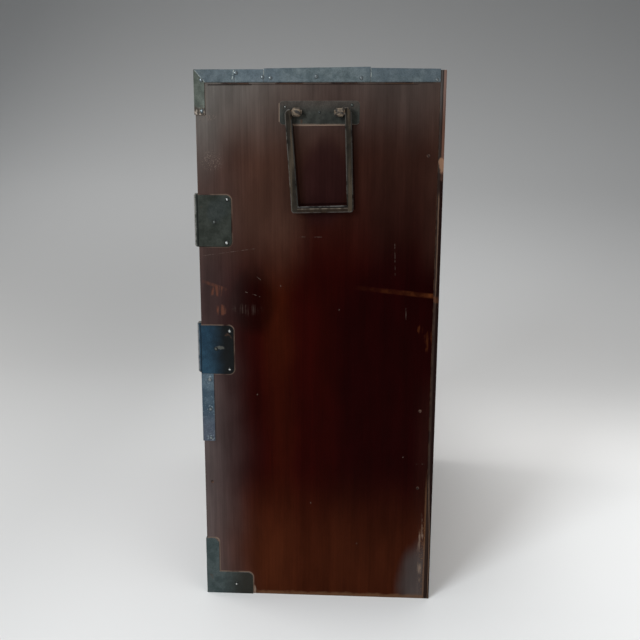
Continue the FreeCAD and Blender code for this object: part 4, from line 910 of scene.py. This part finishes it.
def barrel_crease_shade(along):
    """The painted shade in the crease between the barrel and the leaf that leaves it."""
    return (along + SEAM_AHEAD).math("ABSOLUTE").ramp(0.0016, 0.0008)


def upper_hinge_tint(colour, place, across, along, up):
    """A bluish middle, and painted black shade where the leaf runs into the barrel."""
    blue = patch(along, up, *HINGE_BLUE, place.noise(30.0, 2.0))
    colour = (blue * 0.5).choose(colour, (0.024, 0.030, 0.030, 1))
    return barrel_crease_shade(along).choose(colour, BARREL_CREASE_SHADE)


upper_hinge_iron = forged_iron("upper_hinge_iron", bright=(0.034, 0.038, 0.031, 1),
                               dull=(0.018, 0.021, 0.016, 1), rust=0.04, tint=upper_hinge_tint)


def lower_hinge_tint(colour, place, across, along, up):
    """Blue next to the corner, partly its bluing and partly a painted reflection of bluish light,
    going black towards the end, with a pale scuff.
    """
    sweep = (along + (place.noise(26.0, 2.0) - 0.5) * 0.02).ramp(-0.190, -0.150)
    colour = (sweep * 0.97).choose(colour, (0.0022, 0.0020, 0.0014, 1))
    scuff = patch(along, up, *HINGE_SCRAPE, place.noise(300.0, 3.0))
    colour = (scuff * 0.6).choose(colour, (0.11, 0.11, 0.095, 1))
    return (barrel_crease_shade(along) * 0.8).choose(colour, BARREL_CREASE_SHADE)


lower_hinge_iron = forged_iron("lower_hinge_iron", bright=(0.018, 0.052, 0.084, 1),
                               dull=(0.010, 0.032, 0.055, 1), rust=0.02, tint=lower_hinge_tint)
for level, finish in (("upper", upper_hinge_iron), ("lower", lower_hinge_iron)):
    dress([level + "_hinge_case_leaf", level + "_hinge_door_leaf"], finish)
dress(["hinge_pins"], upper_hinge_iron)

BRIGHT_HINGE_NAILS = ((-0.1457, 0.6843), (-0.1478, 0.6155), (-0.1459, 0.4713), (-0.1470, 0.4067))
DULL_HINGE_NAILS = ((-0.1672, 0.6486), (-0.1690, 0.4412))
HINGE_FACE, HINGE_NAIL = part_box("upper_hinge_case_leaf")[1].x - 0.0001, (0.0036, 0.0018)
for name, finish, spots in (("hinge_case_nails", nail_iron, BRIGHT_HINGE_NAILS),
                            ("hinge_middle_nails", dull_nail_iron, DULL_HINGE_NAILS)):
    drive_nails(name, "case", finish,
                [((HINGE_FACE, y, z), (1, 0, 0)) for y, z in spots], HINGE_NAIL)
DOOR_LEAF_FACE = FRONT_Y - 0.0014
DOOR_LEAF_NAILS = (
    # x, and how far above the leaf's lower edge
    (0.2600, 0.008), (0.2600, 0.041), (0.2600, 0.074), (0.2920, 0.008), (0.2920, 0.074),
)
drive_nails("hinge_door_nails", "door", nail_iron,
            [((x, DOOR_LEAF_FACE, leaf[0][1] + rise), (0, -1, 0))
             for leaf in (LOWER_LEAF, UPPER_LEAF) for x, rise in DOOR_LEAF_NAILS], HINGE_NAIL)


# ---- The door ----
# Stiles and rails of zelkova, mortised round a fielded panel, under clear red-brown lacquer.
# The lock plate carries a swinging keyhole cover and a small bail, and the bolt runs behind.

ZELKOVA, ZELKOVA_LINE = (0.098, 0.030, 0.0105, 1), (0.026, 0.0062, 0.0028, 1)
ZELKOVA_CLOUD, ZELKOVA_PORE = (0.036, 0.0105, 0.0045, 1), (0.010, 0.003, 0.002, 1)
ZELKOVA_WORN = (0.19, 0.095, 0.045, 1)
FRONT_EASE, FITTING_EASE = 0.0007, 0.0003


def clear_lacquer(name, stretch, shift):
    """Zelkova under clear lacquer. The stretch lays its growth lines along the board."""
    finish, sockets, place, across, along, up = new_finish(name)
    growth = board_grain(place, stretch, shift)
    tight = tuple(1 if share == 1 else 0.03 for share in stretch)
    fine = place.noise(460.0, 2.0, tight)
    pores = place.noise(900.0, 2.0, tuple(1 if share == 1 else 0.08 for share in stretch))
    cloud = place.noise(5.0, 3.0, (1, 1, 1), shift)
    ragged = place.noise(90.0, 5.0)
    open_pores = pores.ramp(0.60, 0.68)
    colour = growth.choose(ZELKOVA, ZELKOVA_LINE)
    colour = (cloud.ramp(0.42, 0.68) * 0.55).choose(colour, ZELKOVA_CLOUD)
    colour = (open_pores * growth * 0.6).choose(colour, ZELKOVA_PORE)
    colour = colour.shade(fine.ramp(0.3, 0.7) * 0.3 + 0.85)
    worn = edges_of(place) * ragged.ramp(0.42, 0.58)
    colour = (worn * 0.6).choose(colour, ZELKOVA_WORN)
    relief = growth * -0.5 + fine * 0.3 - open_pores * 0.6
    paint(sockets, colour, cloud * 0.16 + 0.22 + worn * 0.25, bump(relief, 0.0003), 0.35)
    connect(sockets["Coat Weight"], (1 - worn) * 0.25)
    sockets["Coat Roughness"].default_value = 0.18
    return finish


dress(["door_stiles"], clear_lacquer("stile_wood", (1, 1, 0.10), (1, 0, 4)))
dress(["door_rails"], clear_lacquer("door_rail_wood", (0.10, 1, 1), (5, 0, 2)))
dress(["door_panel"], clear_lacquer("door_panel_wood", (1, 1, 0.16), (8, 2, 0)))
round_edges(["door_stiles", "door_rails", "door_panel"], FRONT_EASE)

fitting_iron = forged_iron("fitting_iron", bright=(0.050, 0.054, 0.054, 1),
                           dull=(0.020, 0.023, 0.024, 1), rust=0.10)
lock_plate_iron = forged_iron("lock_plate_iron", bright=(0.055, 0.062, 0.066, 1),
                              dull=(0.024, 0.029, 0.032, 1), rust=0.05)
cover_iron = forged_iron("cover_iron", bright=(0.090, 0.088, 0.080, 1),
                         dull=(0.040, 0.040, 0.037, 1), rust=0.05)
dress(["door_lock_plate"], lock_plate_iron)
dress(["keyhole_cover"], cover_iron)
dress(["door_lock_case", "door_bolt", "door_pull", "door_pull_posts"], fitting_iron)
round_edges(["door_lock_plate", "keyhole_cover", "door_lock_case", "door_bolt"], FITTING_EASE)

LOCK_X, LOCK_NAIL_OFF, LOCK_NAIL_Z = -0.0005, 0.0215, (0.478, 0.506, 0.546, 0.586, 0.614)
LOCK_NAIL, RIVET, RIVET_Z = (0.0026, 0.0014), (0.0030, 0.0016), 0.598
drive_nails("lock_plate_nails", "door", nail_iron,
            [((LOCK_X + side * LOCK_NAIL_OFF, DOOR_LEAF_FACE, z), (0, -1, 0))
             for side in (1, -1) for z in LOCK_NAIL_Z], LOCK_NAIL)
drive_nails("cover_rivet", "door", nail_iron,
            [((LOCK_X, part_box("keyhole_cover")[0].y, RIVET_Z), (0, -1, 0))], RIVET)


# ---- The drawers ----
# Zelkova fronts over dovetailed paulownia trays, with an iron at each corner of the front
# and small bails that swing on two posts through a plate. Nails hold every iron.

TRAY_PALE, TRAY_LINE = (0.40, 0.285, 0.180, 1), (0.27, 0.175, 0.100, 1)
TRAY_STAIN = (0.16, 0.10, 0.06, 1)
tray_wood, sockets, place, across, along, up = new_finish("tray_wood")
growth = board_grain(place, (0.4, 0.10, 1), (0, 3, 3))
fine = place.noise(420.0, 2.0, (0.3, 0.03, 1))
stain = place.noise(8.0, 4.0, (1, 1, 1), (5, 0, 3))
colour = growth.choose(TRAY_PALE, TRAY_LINE)
colour = (stain.ramp(0.42, 0.72) * 0.5).choose(colour, TRAY_STAIN)
colour = colour.shade(fine.ramp(0.3, 0.7) * 0.22 + 0.88)
paint(sockets, colour, stain * 0.2 + 0.6, bump(growth * -0.6 + fine * 0.5, 0.0003), 0.3)

DRAWERS = (
    # name, how many pulls, shift of the front's grain
    ("bottom_drawer", 2, (0, 0, 1)), ("middle_drawer", 2, (3, 0, 5)), ("top_drawer", 2, (7, 0, 8)),
    ("lower_stack_drawer", 1, (2, 1, 0)), ("upper_stack_drawer", 1, (9, 4, 3)),
)
PULL_X, PULL_NAIL_OFF, AXIS_BELOW = {2: (-0.160, 0.160), 1: (-0.180,)}, 0.0435, 0.003
CORNER_LEG, CORNER_IN = 0.0290, 0.0045
CORNER_NAILS_IN = ((CORNER_IN, CORNER_IN), (CORNER_LEG, CORNER_IN), (CORNER_IN, CORNER_LEG))
DRAWER_FACE, DRAWER_NAIL = FRONT_Y - 0.0011, (0.0022, 0.0012)
for drawer, pulls, shift in DRAWERS:
    dress([drawer + "_front"], clear_lacquer(drawer + "_wood", (0.10, 1, 1), shift))
    dress([drawer + "_tray"], tray_wood)
    pull_names = [drawer + "_pull"] if pulls == 1 else [drawer + "_pull_1", drawer + "_pull_2"]
    dress([drawer + "_irons"] + pull_names, fitting_iron)
    round_edges([drawer + "_front", drawer + "_tray"], FRONT_EASE)

    low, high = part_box(drawer + "_front")
    points = []
    for x, inward in ((low.x, 1), (high.x, -1)):
        for z, rise in ((low.z, 1), (high.z, -1)):
            points += [((x + inward * over, DRAWER_FACE, z + rise * along_leg), (0, -1, 0))
                       for over, along_leg in CORNER_NAILS_IN]
    axis_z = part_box(pull_names[0])[1].z - AXIS_BELOW
    points += [((x + off, DRAWER_FACE, axis_z), (0, -1, 0))
               for x in PULL_X[pulls] for off in (-PULL_NAIL_OFF, PULL_NAIL_OFF)]
    drive_nails(drawer + "_nails", drawer, nail_iron, points, DRAWER_NAIL)
